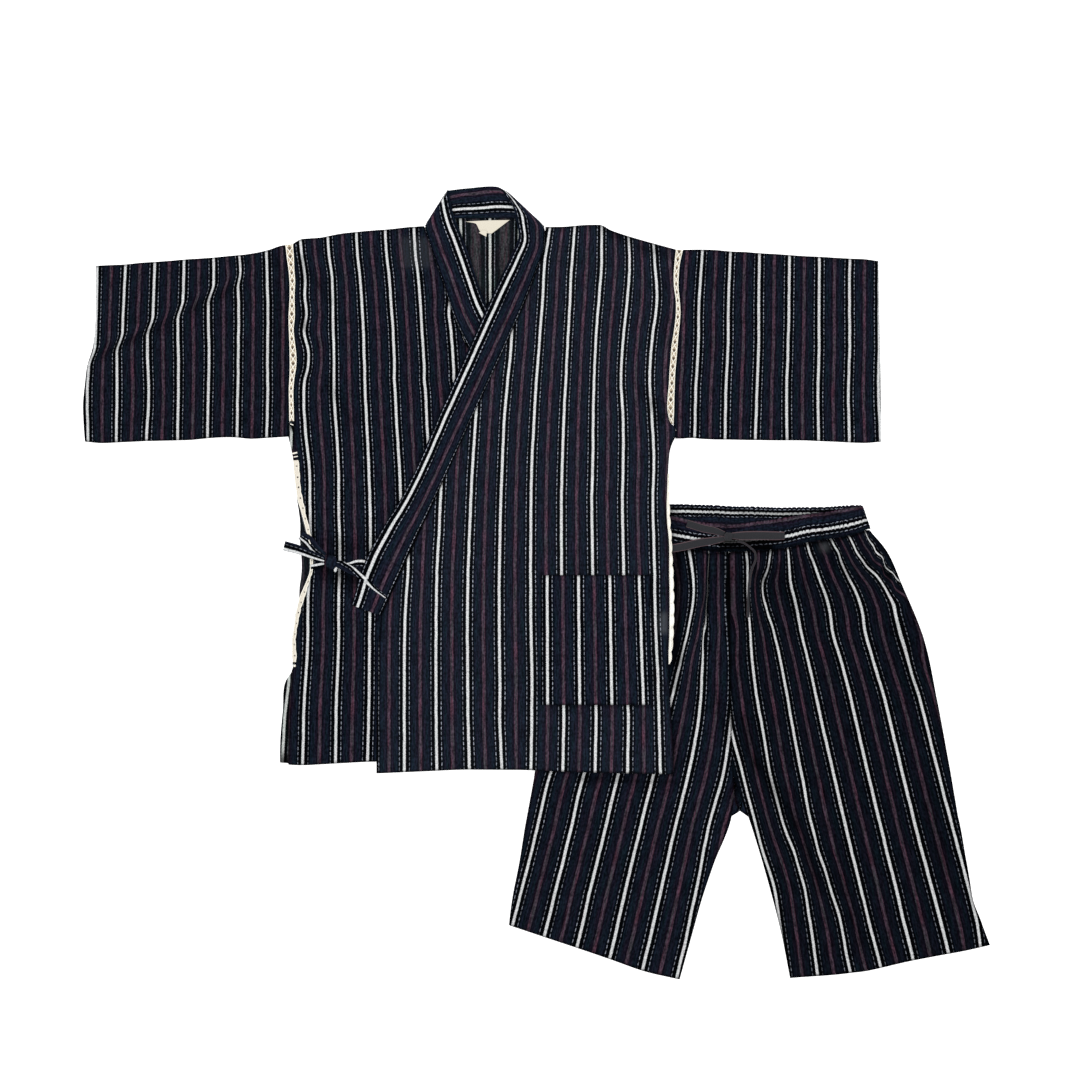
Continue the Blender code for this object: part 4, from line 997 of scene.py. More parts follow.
@dataclass
class Knot:
    """A small knot: a strand wrapped round the others.

    Attributes:
        name: the piece's name and its solid's.
        turn: direction of the wrapping strand, in degrees from the x axis.
        wraps: how many strands show side by side.
        stripes: stripe numbers across the strands.
        lift: how far it stands above its solid.
        spread: its middle and its half sizes seen from above, if not its solid's, in mm.
        bulge: the same of a pale corner of cloth caught below the wrap, if there is one.
    """

    name: str
    turn: float
    wraps: float
    stripes: tuple
    lift: float = 0.0
    spread: tuple = ()
    bulge: tuple = ()

    def ball(self, middle: Array, half: Array, stripes: tuple) -> Object:
        """Builds one wrapped, rounded piece of the knot.

        Args:
            middle: its middle.
            half: half its sizes.
            stripes: stripe numbers at its two sides.

        Returns:
            The piece.
        """
        bpy.ops.mesh.primitive_uv_sphere_add(segments=48, ring_count=32, radius=1)
        made = bpy.context.object
        made.name = made.data.name = self.name + "_wrap"
        mesh = made.data
        spots = np.empty(3 * len(mesh.vertices))
        mesh.vertices.foreach_get("co", spots)
        spots = spots.reshape(-1, 3)
        turn = math.radians(self.turn)
        across = -spots[:, 0] * math.sin(turn) + spots[:, 1] * math.cos(turn)
        groove = np.abs(np.sin(across * self.wraps * math.pi / 2)) ** 0.5
        swollen = np.sign(spots) * np.abs(spots) ** 0.8
        shaped = swollen * (0.84 + 0.16 * groove)[:, None] * half + middle
        shaped[:, 2] += self.lift
        mesh.vertices.foreach_set("co", shaped.ravel())
        along = spots[:, 0] * math.cos(turn) + spots[:, 1] * math.sin(turn)
        numbers = stripes[0] + (stripes[1] - stripes[0]) * (across + 1) / 2
        write_weave(mesh, np.column_stack([numbers, along * half[1]]))
        mesh.shade_smooth()
        return made

    def build(self) -> Object:
        """Builds the knot and hides the solid that it stands for."""
        low, high = (np.array(corner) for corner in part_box(self.name))
        middle, half = (low + high) / 2, (high - low) / 2
        if self.spread:
            middle[:2], half[:2] = np.array(self.spread[:2]) * MM, np.array(self.spread[2:]) * MM
        made = self.ball(middle, half, self.stripes)
        if self.bulge:
            aside = np.append(np.array(self.bulge[:2]) * MM, middle[2])
            tip = self.ball(aside, np.append(np.array(self.bulge[2:]) * MM, half[2] * 0.30), (-0.085, 0.055))
            bpy.ops.object.select_all(action="DESELECT")
            tip.select_set(True)
            made.select_set(True)
            bpy.context.view_layer.objects.active = made
            bpy.ops.object.join()
        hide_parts(self.name)
        return made


@dataclass
class Lace:
    """A lace tape: a fine ground, two edge cords and two strands that cross between them.

    Attributes:
        name: the piece's name and its solid's.
        route: x, y and the width that shows between the panels, at places along it, in mm.
        relief: the garment's creases.
        repeat: length of one repeat, two eyes long.
        scallop: how deep the notches are in its right edge and in its left one.
        sides: which edges have a cord, -1 for the right and 1 for the left.
        thread: half of a thread's thickness.
        tacks: bar tacks at its ends, each from x, y to x, y and how deep it lies in the cloth, in mm.
        close: whether the tape is worked so closely that only pinholes show.
        covered: how far it goes on under the cloth on its right and on its left.
        sunk: how deep it lies in the gap between the panels.
    """

    name: str
    route: tuple
    relief: Relief
    repeat: float = 0.024
    scallop: tuple = (0.0, 0.0)
    sides: tuple = (-1, 1)
    thread: float = 0.00075
    tacks: tuple = ()
    close: bool = False
    covered: tuple = (0.0012, 0.0012)
    sunk: float = 0.0007

    def strands(self, middle: Array, half: Array, ways: Array) -> list:
        """The threads' lines: two that cross and a cord along each edge.

        Args:
            middle: the tape's middle line.
            half: from each of its points to the tape's left edge.
            ways: length of the tape up to each of its points.

        Returns:
            For each thread, the points that it follows.
        """
        turns = ways / self.repeat
        up = np.array([0, 0, self.thread])
        threads = []
        for sign in () if self.close else (-1, 1):
            swing = 2 * np.abs(2 * (turns - np.floor(turns + 0.5))) - 1
            lift = 0.5 + 0.35 * sign * np.cos(turns * 2 * math.pi + 0.8)
            threads.append(middle + half * (sign * 0.78 * swing)[:, None] + up * lift[:, None])
        for sign in self.sides:
            threads.append(middle + half * (sign * 0.84) + up * 0.5)
        return threads

    def build(self) -> tuple:
        """Builds the ground and its threads and hides the solid that they stand for."""
        solid = Solid(self.name)
        shown = strip_grid(self.route, 0.0008, 8)
        side = shown[:, -1] - shown[:, 0]
        side = side / np.linalg.norm(side, axis=1)[:, None]
        turns = ways_of(shown[:, 4]) / self.repeat
        notch = (1 - np.abs(np.sin(math.pi * turns)) ** 0.55) * (0.8 + 0.2 * np.sin(2.3 * turns + 1))
        for column, sign, deep in ((0, 1, self.scallop[0]), (-1, -1, self.scallop[1])):
            shown[:, column] += side * (sign * deep * notch)[:, None]
        share = np.linspace(0, 1, 9)[None, :, None]
        shown = shown[:, :1] * (1 - share) + shown[:, -1:] * share
        beyond = np.interp(np.linspace(-1, 1, 9), (-1, 0, 1), (-self.covered[0], 0, self.covered[1]))
        places = shown + side[:, None] * beyond[None, :, None]
        x, y = places[..., 0], places[..., 1]
        heights = softened(solid.top(x, y), 3) - self.sunk + self.relief.height(x, y)
        points = np.dstack([places, heights])
        middle = points[:, 4]
        half = np.column_stack([(shown[:, -1] - shown[:, 0]) / 2, np.zeros(len(shown))])
        ways = ways_of(middle)
        across = np.linspace(-1, 1, 9)
        weave = np.dstack(np.broadcast_arrays(across[None, :], ways[:, None] / self.repeat))
        ground = cloth_sheet(self.name + "_ground", points, weave, 0.0003)
        self.points = points
        threads = self.strands(middle, half, ways)
        highest = float(heights.max()) + self.sunk + self.thread * 0.6
        for x0, y0, x1, y1, deep in self.tacks:
            share = np.linspace(0, 1, 6)[:, None]
            tack = np.array([[x0, y0]]) * (1 - share) + np.array([[x1, y1]]) * share
            threads.append(np.column_stack([tack * MM, np.full(6, highest - deep * MM)]))
        made = thread_mesh(self.name + "_threads", threads, self.thread)
        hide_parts(self.name)
        return ground, made


FLAT = Relief((), 0.0)


# --- Finishes ---
def linear(stop: Stop) -> tuple:
    """A stop's colour as light, red, green, blue and alpha."""
    shares = (np.array(stop[1:]) / 255 + 0.055) / 1.055
    light = np.where(np.array(stop[1:]) <= 10, np.array(stop[1:]) / 255 / 12.92, shares ** 2.4)
    return (*light.tolist(), 1.0)


class Graph:
    """The node tree of one material."""

    def __init__(self, name: str):
        """Starts a material with its own shader.

        Args:
            name: the material's name.
        """
        self.material = bpy.data.materials.new(name)
        self.material.use_nodes = True
        self.tree = self.material.node_tree
        self.shader = self.tree.nodes["Principled BSDF"]

    def join(self, source: Socket | float | tuple, target: Socket) -> None:
        """Links a socket to another, or sets a plain value on it."""
        if isinstance(source, Socket):
            self.tree.links.new(source, target)
        else:
            target.default_value = source

    def node(self, kind: str, *values: Socket | float, **named: Socket | float) -> bpy.types.Node:
        """Adds a node.

        Args:
            kind: its type, without the usual beginning.
            values: what goes into its first inputs, in order.
            named: what goes into inputs by their names, with underscores for the spaces.

        Returns:
            The node.
        """
        made = self.tree.nodes.new("ShaderNode" + kind)
        for value, socket in zip(values, made.inputs):
            self.join(value, socket)
        for name, value in named.items():
            self.join(value, made.inputs[name.replace("_", " ")])
        return made

    def coordinates(self) -> tuple:
        """The weave's stripe number and metres along it, as two sockets."""
        uv = self.node("UVMap")
        uv.uv_map = "weave"
        parts = self.node("SeparateXYZ", uv.outputs["UV"])
        return parts.outputs[0], parts.outputs[1]

    def math(self, operation: str, *values: Socket | float) -> Socket:
        """One sum, product or other operation on numbers."""
        node = self.node("Math", *values)
        node.operation = operation
        return node.outputs[0]

    def times(self, *values: Socket | float) -> Socket:
        """A product."""
        return self.math("MULTIPLY", *values)

    def rest(self, value: Socket, whole: Socket | float = 1.0) -> Socket:
        """What a value leaves of a whole."""
        return self.math("SUBTRACT", whole, value)

    def place(self, *values: Socket | float) -> Socket:
        """A vector of up to three numbers."""
        return self.node("CombineXYZ", *values).outputs[0]

    def noise(self, vector: Socket, detail: float = 2.0) -> Socket:
        """Smooth noise with features about one unit across."""
        return self.node("TexNoise", vector, Scale=1.0, Detail=detail).outputs[0]

    def grain(self, across: Socket, along: Socket, scales: tuple, aside: float = 0.0, detail: float = 2.0) -> Socket:
        """Smooth noise across and along the weave, at a scale for each of the two."""
        return self.noise(self.place(self.times(across, scales[0]), self.times(along, scales[1]), aside), detail)

    def ramp(self, value: Socket, stops: tuple) -> Socket:
        """A colour for each value, from a table of stops."""
        node = self.node("ValToRGB", value)
        elements = node.color_ramp.elements
        elements.remove(elements[-1])
        for k, stop in enumerate(stops):
            element = elements[0] if k == 0 else elements.new(stop.place)
            element.position = stop.place
            element.color = linear(stop)
        return node.outputs[0]

    def mix(self, share: Socket | float, first: Socket | tuple, second: Socket | tuple, blend: str = "MIX") -> Socket:
        """Two colours mixed."""
        node = self.node("Mix", share)
        node.data_type = "RGBA"
        node.blend_type = blend
        sockets = [socket for socket in node.inputs if socket.type == "RGBA"]
        self.join(first, sockets[0])
        self.join(second, sockets[1])
        return next(socket for socket in node.outputs if socket.type == "RGBA")

    def grey(self, value: Socket) -> Socket:
        """A grey whose three parts are this value."""
        return self.node("CombineColor", value, value, value).outputs[0]

    def attribute(self, name: str) -> Socket:
        """A number that the mesh carries in its points."""
        node = self.node("Attribute")
        node.attribute_name = name
        return node.outputs["Fac"]

    def between(self, value: Socket, low: float, high: float) -> Socket:
        """0 at low or less, 1 at high or more, and a soft rise between them."""
        node = self.node("MapRange", value, low, high)
        node.interpolation_type = "SMOOTHSTEP"
        return node.outputs[0]

    def bump(self, height: Socket, strength: float, distance: float) -> None:
        """Raises the surface by a height."""
        node = self.node("Bump", Strength=strength, Distance=distance, Height=height)
        self.join(node.outputs[0], self.shader.inputs["Normal"])

    def surface(self, roughness: float, specular: float, sheen: float) -> None:
        """Sets how the cloth catches the light."""
        self.set(Roughness=roughness, Specular_IOR_Level=specular, Sheen_Weight=sheen, Sheen_Roughness=0.6)

    def set(self, **named: Socket | float | tuple) -> None:
        """Sets the shader's own inputs, by their names with underscores for the spaces."""
        for name, value in named.items():
            self.join(value, self.shader.inputs[name.replace("_", " ")])


@dataclass(frozen=True)
class StripedCotton:
    """Yarn-dyed cotton with white, black, teal, navy and plum stripes and a dashed thread.

    Attributes:
        name: the material's name.
        bands: colours from the middle of a white stripe, 0, to the middle of a plum one, 1.
        dashed: colour of the dashed thread.
        patch_and_light_colour: what all the colours pale towards on a pale patch, and under the painted light of a
            panel's haze.
        stitches: how strongly the dashed thread shows.
        white_edge: from where to where the white stripe ends.
        plum_edge: from where to where the plum stripe begins.
        dash_edges: the same for the dashed thread's two sides.
        stitch: share of a stitch at which the thread comes up, from and to.
    """

    name: str = "striped_cotton"
    bands: tuple = rows_of(Stop,
        (0, 231, 231, 232), (0.074, 226, 227, 228), (0.096, 4, 5, 9), (0.27, 6, 8, 13), (0.385, 11, 15, 23),
        (0.44, 23, 30, 44), (0.5, 35, 42, 56), (0.6, 29, 39, 50), (0.7, 37, 41, 54), (0.78, 37, 34, 49),
        (0.86, 31, 25, 38), (0.882, 33, 27, 37), (0.906, 89, 70, 80), (1, 101, 79, 89),
    )
    dashed: Stop = Stop(0, 174, 181, 196)
    patch_and_light_colour: Stop = Stop(0, 120, 124, 128)
    stitches: float = 1.0
    white_edge: tuple = (0.074, 0.096)
    plum_edge: tuple = (0.882, 0.906)
    dash_edges: tuple = ((0.296, 0.304), (0.334, 0.342))
    stitch: tuple = (0.36, 0.50)

    def make(self) -> Material:
        """Makes the material."""
        graph = Graph(self.name)
        number, metre = graph.coordinates()
        across = graph.times(number, PITCH / MM)
        along = graph.times(metre, 1 / MM)
        distance = self.distance(graph, number, across, along)
        white = graph.rest(graph.between(distance, *self.white_edge))
        colour = graph.ramp(distance, self.bands)
        colour = self.dyed(graph, colour, across, along, white)
        colour = self.stitched(graph, colour, distance, across, along)
        plum = graph.times(graph.between(distance, *self.plum_edge), 0.55)
        # Painted shade: the panel's dim darkens its dark bands, the plum ones less and the white ones not at all.
        shade_on_dyed_bands = graph.times(graph.attribute("dim"), graph.rest(plum, graph.rest(white)))
        colour = graph.mix(1.0, colour, graph.grey(graph.rest(shade_on_dyed_bands)), "MULTIPLY")
        # Pale patches, and painted light where the panel's haze lifts all its colours.
        colour = graph.mix(graph.attribute("patch_and_light"), colour, linear(self.patch_and_light_colour))
        light = graph.grey(graph.rest(graph.attribute("shadow")))
        graph.set(Base_Color=graph.mix(1.0, colour, light, "MULTIPLY"))
        yarn = graph.math("SINE", graph.times(across, 2 * math.pi / 0.55))
        pick = graph.math("SINE", graph.times(along, 2 * math.pi / 0.60))
        weave = graph.times(graph.times(yarn, pick), 0.12)
        crinkle = graph.grain(across, along, (0.28, 0.16), detail=4.0)
        graph.bump(graph.math("ADD", weave, crinkle), 0.60, 0.0007)
        graph.surface(0.90, 0.008, 0.004)
        return graph.material

    def distance(self, graph: Graph, number: Socket, across: Socket, along: Socket) -> Socket:
        """How far a place is from the nearest white stripe, 0, towards the next plum one, 1."""
        wander = graph.grain(across, along, (0.45, 0.9))
        drift = graph.grain(across, along, (0.02, 0.035), 5.0, 2.0)
        shifted = graph.math("ADD", number, graph.times(graph.math("SUBTRACT", wander, 0.5), 0.040))
        shifted = graph.math("ADD", shifted, graph.times(graph.math("SUBTRACT", drift, 0.5), 0.030))
        return graph.times(graph.math("PINGPONG", shifted, 0.5), 2.0)

    def dyed(self, graph: Graph, colour: Socket, across: Socket, along: Socket, white: Socket) -> Socket:
        """Uneven dye: fine flecks, long streaks in the yarn and slow changes of hue."""
        streak = graph.grain(across, along, (0.62, 0.05), detail=3.0)
        fleck = graph.grain(across, along, (0.42, 0.24), 3.0, 3.0)
        hue = graph.grain(across, along, (0.36, 0.026), 8.0, 2.0)
        rough = graph.math("ADD", graph.times(streak, 0.50), graph.times(fleck, 0.50))
        tone = graph.ramp(rough, (Stop(0.39, 108, 110, 114), Stop(0.5, 190, 190, 190), Stop(0.60, 255, 255, 255)))
        colour = graph.mix(graph.rest(graph.times(white, 0.95), 0.95), colour, tone, "MULTIPLY")
        yarn = graph.grain(across, along, (0.55, 0.38), 21.0, 3.0)
        pale = graph.ramp(yarn, (Stop(0.36, 196, 196, 198), Stop(0.52, 244, 245, 243), Stop(0.62, 255, 255, 255)))
        colour = graph.mix(white, colour, graph.mix(1.0, colour, pale, "MULTIPLY"))
        tint = graph.ramp(hue, (
            Stop(0.36, 255, 216, 238), Stop(0.46, 236, 234, 255), Stop(0.54, 226, 246, 255), Stop(0.64, 202, 255, 246)))
        return graph.mix(graph.rest(graph.times(white, 0.84), 0.9), colour, tint, "MULTIPLY")

    def stitched(self, graph: Graph, colour: Socket, distance: Socket, across: Socket, along: Socket) -> Socket:
        """The dashed thread, some of its stitches brighter than others."""
        half = DASH / 2 / MM
        dash = graph.between(graph.math("PINGPONG", along, half), *(share * DASH / 2 / MM for share in self.stitch))
        dash = graph.math("ADD", 0.09, graph.times(dash, 0.91))
        near, far = self.dash_edges
        dash = graph.times(dash, graph.between(distance, *near))
        dash = graph.times(dash, graph.rest(graph.between(distance, *far)))
        one = graph.grain(across, along, (0.09, 0.15), 12.0, 1.0)
        run = graph.grain(across, along, (0.07, 0.026), 17.0, 1.0)
        bright = graph.times(graph.between(one, 0.30, 0.64), graph.between(run, 0.26, 0.56))
        bright = graph.times(graph.math("ADD", 0.26, graph.times(bright, 0.74)), self.stitches)
        return graph.mix(graph.times(dash, bright), colour, linear(self.dashed))


INSIDE = StripedCotton(
    "striped_cotton_inside",
    rows_of(Stop,
        (0, 205, 208, 205), (0.076, 200, 203, 200), (0.1, 10, 12, 14), (0.285, 12, 14, 16), (0.3, 108, 113, 111),
        (0.335, 108, 113, 111), (0.35, 26, 30, 34), (0.62, 30, 34, 38), (0.7, 66, 61, 64), (1, 84, 77, 78),
    ),
    stitches=0.45,
)


@dataclass(frozen=True)
class LaceCotton:
    """Cream cotton thread.

    Attributes:
        name: the material's name.
        light: colour of its raised fibres.
        dark: colour between them.
        fine: how many fibres lie in a metre.
    """

    name: str
    light: Stop
    dark: Stop
    fine: float = 900.0

    def make(self) -> Material:
        """Makes the material."""
        graph = Graph(self.name)
        scaled = graph.node("VectorMath", graph.node("TexCoord").outputs["Object"])
        scaled.operation = "SCALE"
        scaled.inputs["Scale"].default_value = self.fine
        fibre = graph.noise(scaled.outputs[0], 3.0)
        graph.set(Base_Color=graph.mix(graph.between(fibre, 0.3, 0.7), linear(self.dark), linear(self.light)))
        graph.bump(fibre, 0.5, 0.0003)
        graph.surface(0.85, 0.25, 0.15)
        return graph.material


@dataclass(frozen=True)
class LaceGround:
    """The net between the threads, with a darker eye painted in each of its holes: what lies below the hole, in painted
    shade.

    Attributes:
        name: the material's name.
        net: colour of the net.
        shade: its darker parts.
        eye: colour in the eyes.
        spread: half width of an eye across the tape, as a share of the tape's.
        length: half length of an eye, as a share of a repeat.
        every: how many repeats lie from one eye to the next.
        phase: how far from the tape's end its first eye lies, in repeats.
        aside: how far the eyes lie from the tape's middle, as a share of its half width.
    """

    name: str
    net: Stop
    shade: Stop
    eye: Stop
    spread: float
    length: float
    every: float
    phase: float = 0.06
    aside: float = 0.0

    def make(self) -> Material:
        """Makes the material."""
        graph = Graph(self.name)
        across, repeats = graph.coordinates()
        jitter = graph.noise(graph.place(graph.times(repeats, 1.6), 4.0), 1.0)
        jitter = graph.times(graph.math("SUBTRACT", jitter, 0.5), 0.35 * self.every)
        start = graph.math("ADD", repeats, self.phase)
        phase = graph.math("PINGPONG", graph.math("ADD", start, jitter), self.every / 2)
        beside = graph.math("SUBTRACT", across, self.aside)
        far = graph.math("ADD", graph.math("POWER", graph.math("DIVIDE", phase, self.length), 2.0),
                         graph.math("POWER", graph.math("DIVIDE", beside, self.spread), 2.0))
        eye = graph.rest(graph.between(far, 0.4, 1.3))
        fibre = graph.grain(across, repeats, (5.0, 30.0), detail=3.0)
        each = graph.noise(graph.place(graph.times(repeats, 0.9), 9.0), 1.0)
        uneven = graph.times(eye, graph.between(graph.math("ADD", fibre, each), 0.66, 1.06))
        net = graph.mix(graph.between(fibre, 0.35, 0.65), linear(self.shade), linear(self.net))
        graph.set(Base_Color=graph.mix(uneven, net, linear(self.eye)))
        graph.bump(fibre, 0.5, 0.0003)
        graph.surface(0.90, 0.10, 0.10)
        return graph.material


@dataclass(frozen=True)
class WovenTape:
    """A ribbed tape with paler selvedges.

    Attributes:
        name: the material's name.
        body: colour of its ribs.
        shade: colour between them.
        selvedge: colour along its two sides.
    """

    name: str = "grey_tape"
    body: Stop = Stop(0, 36, 37, 43)
    shade: Stop = Stop(0, 18, 18, 23)
    selvedge: Stop = Stop(0, 104, 80, 86)

    def make(self) -> Material:
        """Makes the material."""
        graph = Graph(self.name)
        number, metre = graph.coordinates()
        along = graph.times(metre, 1 / MM)
        rib = graph.math("SINE", graph.times(along, 2 * math.pi / 0.8))
        fleck = graph.grain(number, along, (9.0, 0.9), detail=3.0)
        body = graph.mix(graph.between(fleck, 0.3, 0.7), linear(self.shade), linear(self.body))
        edge = graph.between(graph.math("ABSOLUTE", number), 0.87, 0.96)
        graph.set(Base_Color=graph.mix(edge, body, linear(self.selvedge)))
        graph.bump(graph.math("ADD", graph.times(rib, 0.4), fleck), 0.6, 0.0003)
        graph.surface(0.80, 0.3, 0.10)
        return graph.material


@dataclass(frozen=True)
class LabelSatin:
    """A smooth satin ribbon with nothing woven into it.

    Attributes:
        name: the material's name.
        light: colour where it shines.
        shade: colour elsewhere.
    """

    name: str = "label_satin"
    light: Stop = Stop(0, 226, 220, 204)
    shade: Stop = Stop(0, 208, 200, 182)

    def make(self) -> Material:
        """Makes the material."""
        graph = Graph(self.name)
        number, metre = graph.coordinates()
        along = graph.times(metre, 1 / MM)
        fine = graph.grain(number, along, (40.0, 3.0))
        graph.set(Base_Color=graph.mix(graph.between(fine, 0.3, 0.7), linear(self.shade), linear(self.light)))
        graph.bump(fine, 0.3, 0.0001)
        graph.surface(0.45, 0.4, 0.05)
        return graph.material


def dress(made: Object, finish: Material) -> None:
    """Gives a piece its material."""
    made.data.materials.clear()
    made.data.materials.append(finish)


def lay(
    part: "Panel | Ribbon | Collar | Waistband", material: Material,
) -> None:
    """Builds one part, dresses it and puts it on the set's one body.

    Args:
        part: the part.
        material: what it is dressed in.
    """
    piece = part.build()
    dress(piece, material)
    declare(piece)


# --- Collar and waistband ---
class Across(NamedTuple):
    """A line across a strip, from its free edge to its sewn edge, in mm.

    The shift is the share of the way across by which the stripes lie further from the free edge.
    """

    x0: float
    y0: float
    x1: float
    y1: float
    shift: float = 0.0


LEFT_COLLAR = rows_of(Across,
    (-267.8, -31, -226, -46.6), (-244, 41.6, -194, 22.5), (-216.9, 89.8, -174.5, 66), (-200.2, 116.1, -161.5, 92.5),
    (-132.6, 263.9, -97.6, 232.3, 0.03), (-66.3, 411.7, -33.6, 371.9, 0.03), (-48.6, 450.2, -15.9, 413.1, 0.04),
    (-35.3, 478.2, -0.3, 455.5, 0.06), (-25.8, 503.9, 9.6, 483.6, 0.06), (-29.3, 525.6, 11.2, 502, 0.06),
    (-34.4, 546.4, 11.8, 511.6, 0.06), (-49.5, 569.4, 10.5, 516, 0.06),
)
NECK_COLLAR = rows_of(Across,
    (-49, 571.2, 10.5, 516, -0.03), (-56, 574.8, -9.4, 525.5, -0.03), (-67.4, 575.7, -35.5, 529.5, -0.02),
    (-96.7, 573.2, -84.8, 529.3, 0.01), (-113.8, 571.5, -131.2, 527.5, 0.04), (-127.6, 569.7, -160.2, 517.4, 0.05),
)
RIGHT_COLLAR = rows_of(Across,
    (-127.6, 569.7, -160.2, 517.4, 0.06), (-124.7, 553.2, -161, 514, 0.06), (-118.9, 530, -156.6, 500.2, 0.06),
    (-108.7, 505.3, -148.5, 474.9, 0.06), (-95.8, 469.1, -135, 437.2, 0.06), (-75.1, 408.8, -114.8, 376.3, 0.04),
    (-56.8, 367, -96.5, 336), (-10.9, 262.2, -50.8, 234.9), (53.4, 115.4, 12.8, 93.5), (117.6, -31.2, 76.4, -47.2),
)
# share of the way from free edge to sewn edge, stripe number there
LEFT_COLLAR_STRIPES = ((0, -0.2), (0.2, 0), (0.69, 0.5), (0.945, 0.835), (1, 0.91))
NECK_COLLAR_STRIPES = ((0, 0.29), (0.185, 0.5), (0.66, 1), (1, 1.36))
RIGHT_COLLAR_STRIPES = ((0, -0.2), (0.2, 0), (0.65, 0.5), (0.94, 0.835), (1, 0.915))

WAIST_FRONT = rows_of(Across,
    (83.4, 112.4, 76.4, 79.6), (150.1, 105.1, 147.2, 65), (195, 99.3, 193.6, 56.3), (222.6, 92.8, 221.1, 51.2),
    (255.9, 87, 254.5, 46.4), (287.8, 86.3, 287.8, 46.2), (316.8, 89.9, 316.8, 47.7), (364.7, 96.7, 364.7, 52.3),
    (393.7, 101.2, 395.1, 60.2), (425.6, 105.1, 428.5, 65.5), (454.6, 110.2, 460.4, 71.3), (471.3, 113.4, 482.8, 80),
)
WAIST_BACK = rows_of(Across,
    (83.4, 113.1, 76.4, 79.8), (193.1, 115.7, 192.1, 80.3), (286.4, 112.1, 286.4, 79.8), (384.5, 110.3, 386.4, 79.2),
    (471.3, 113.8, 482.8, 79),
)
WAIST_FRONT_STRIPES = ((0, 0.43), (0.075, 0.5), (0.63, 1), (1, 1.33))
WAIST_BACK_STRIPES = ((0, -0.26), (0.3, 0), (0.87, 0.5), (1, 0.61))


BAND_GLOOMS = rows_of(Gloom,
    (268, 61, 330, 61, 6, 0.99), (272, 53, 340, 52, 5, 0.96), (236, 50, 268, 49, 3.5, 0.85),
    (338, 60, 355, 60, 5, 0.55), (205, 58, 246, 60, 4, 0.45), (262, 78, 282, 80, 6, 0.4),
    (190, 111, 300, 104, 2.6, 0.6), (300, 104, 440, 100, 2.6, 0.6),
)


def across_grid(lines: tuple, cell: float, columns: int) -> tuple:
    """Places between the two edges of a strip.

    Args:
        lines: lines across the strip, one after the other.
        cell: distance between the grid's rows.
        columns: how many cells lie across.

    Returns:
        The places, rows, columns and x, y, and the stripes' shift in each row.
    """
    ends = np.array(lines, float) * (MM, MM, MM, MM, 1.0)
    middles = (ends[:, :2] + ends[:, 2:4]) / 2
    fine = smooth_line(np.hstack([middles, ends]), max(2, round(length_of(middles) / cell)))[:, 2:]
    share = np.linspace(0, 1, columns + 1)[None, :, None]
    return fine[:, None, :2] * (1 - share) + fine[:, None, 2:4] * share, fine[:, 4]


@dataclass
class Collar:
    """The collar strip: two front branches and the stretch behind the neck, sewn double.

    Attributes:
        relief: the jacket's creases.
        cell: distance between its grid's rows.
        columns: how many cells lie across.
        neck_height: height of its stretch behind the neck.
        crossing_y: the right branch passes below the left one down from here.
    """

    relief: Relief
    cell: float = 0.0035
    columns: int = 18
    neck_height: float = 0.0012
    crossing_y: float = 0.490

    def numbers(self, shifts: Array, table: tuple) -> Array:
        """Stripe numbers across the strip, row by row."""
        shares, numbers = np.array(table).T
        across = np.linspace(0, 1, self.columns + 1)[None, :] - shifts[:, None]
        slope = (numbers[1] - numbers[0]) / (shares[1] - shares[0])
        return np.interp(across, shares, numbers) + slope * np.minimum(across, 0)

    def build(self) -> Object:
        """Builds the strip in one, with its two folds at the shoulders."""
        solid = Solid("collar")
        (left, left_shifts), (neck, neck_shifts), (right, right_shifts) = (
            across_grid(lines, self.cell, self.columns) for lines in (LEFT_COLLAR, NECK_COLLAR, RIGHT_COLLAR)
        )
        half = COLLAR_SHELL / 2 + 0.0001
        left_heights = softened(solid.top(left[..., 0], left[..., 1]), 3) - half
        crossed = right[..., 1] < self.crossing_y
        right_top = np.where(
            crossed, solid.top(right[..., 0], right[..., 1], below=True), solid.top(right[..., 0], right[..., 1])
        )
        right_heights = softened(right_top, 3) - half
        share = np.linspace(0, 1, self.columns + 1)
        crown = 0.0003 - 0.0007 * (1 - step(np.minimum(share, 1 - share), 0.0, 0.10))
        parts, numbers = [], []
        neck_heights = np.full(neck.shape[:2], self.neck_height)
        for places, heights, shifts, table in (
            (left, left_heights, left_shifts, LEFT_COLLAR_STRIPES),
            (neck, neck_heights, neck_shifts, NECK_COLLAR_STRIPES),
            (right, right_heights, right_shifts, RIGHT_COLLAR_STRIPES),
        ):
            lift = crown if places is not neck else -crown
            relief = self.relief.height(places[..., 0], places[..., 1]) if places is not neck else 0.0
            parts.append(np.dstack([places, heights + lift + relief]))
            numbers.append(self.numbers(shifts, table))
        for place, outward in ((1, (0.7, 0.7, 0)), (3, (-0.8, 0.55, 0))):
            upper, lower = parts[place - 1][-1], parts[place][0]
            radius = np.abs(upper[:, 2] - lower[:, 2])[:, None] / 2
            parts.insert(place, ((upper + lower) / 2 + radius * np.array(outward))[None])
            numbers.insert(place, (numbers[place - 1][-1:] + numbers[place][:1]) / 2)
        points = np.concatenate(parts)
        ways = ways_of(points[:, self.columns // 2])
        weave = np.dstack(np.broadcast_arrays(np.concatenate(numbers), ways[:, None]))
        edge = 0.45 * (1 - step(np.minimum(share, 1 - share), 0.0, 0.045))
        shades = {"shadow": np.broadcast_to(edge, points.shape[:2])}
        made = cloth_sheet("collar_cloth", points, weave, COLLAR_SHELL, middle=True, shades=shades)
        self.points = points
        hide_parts("collar")
        return made


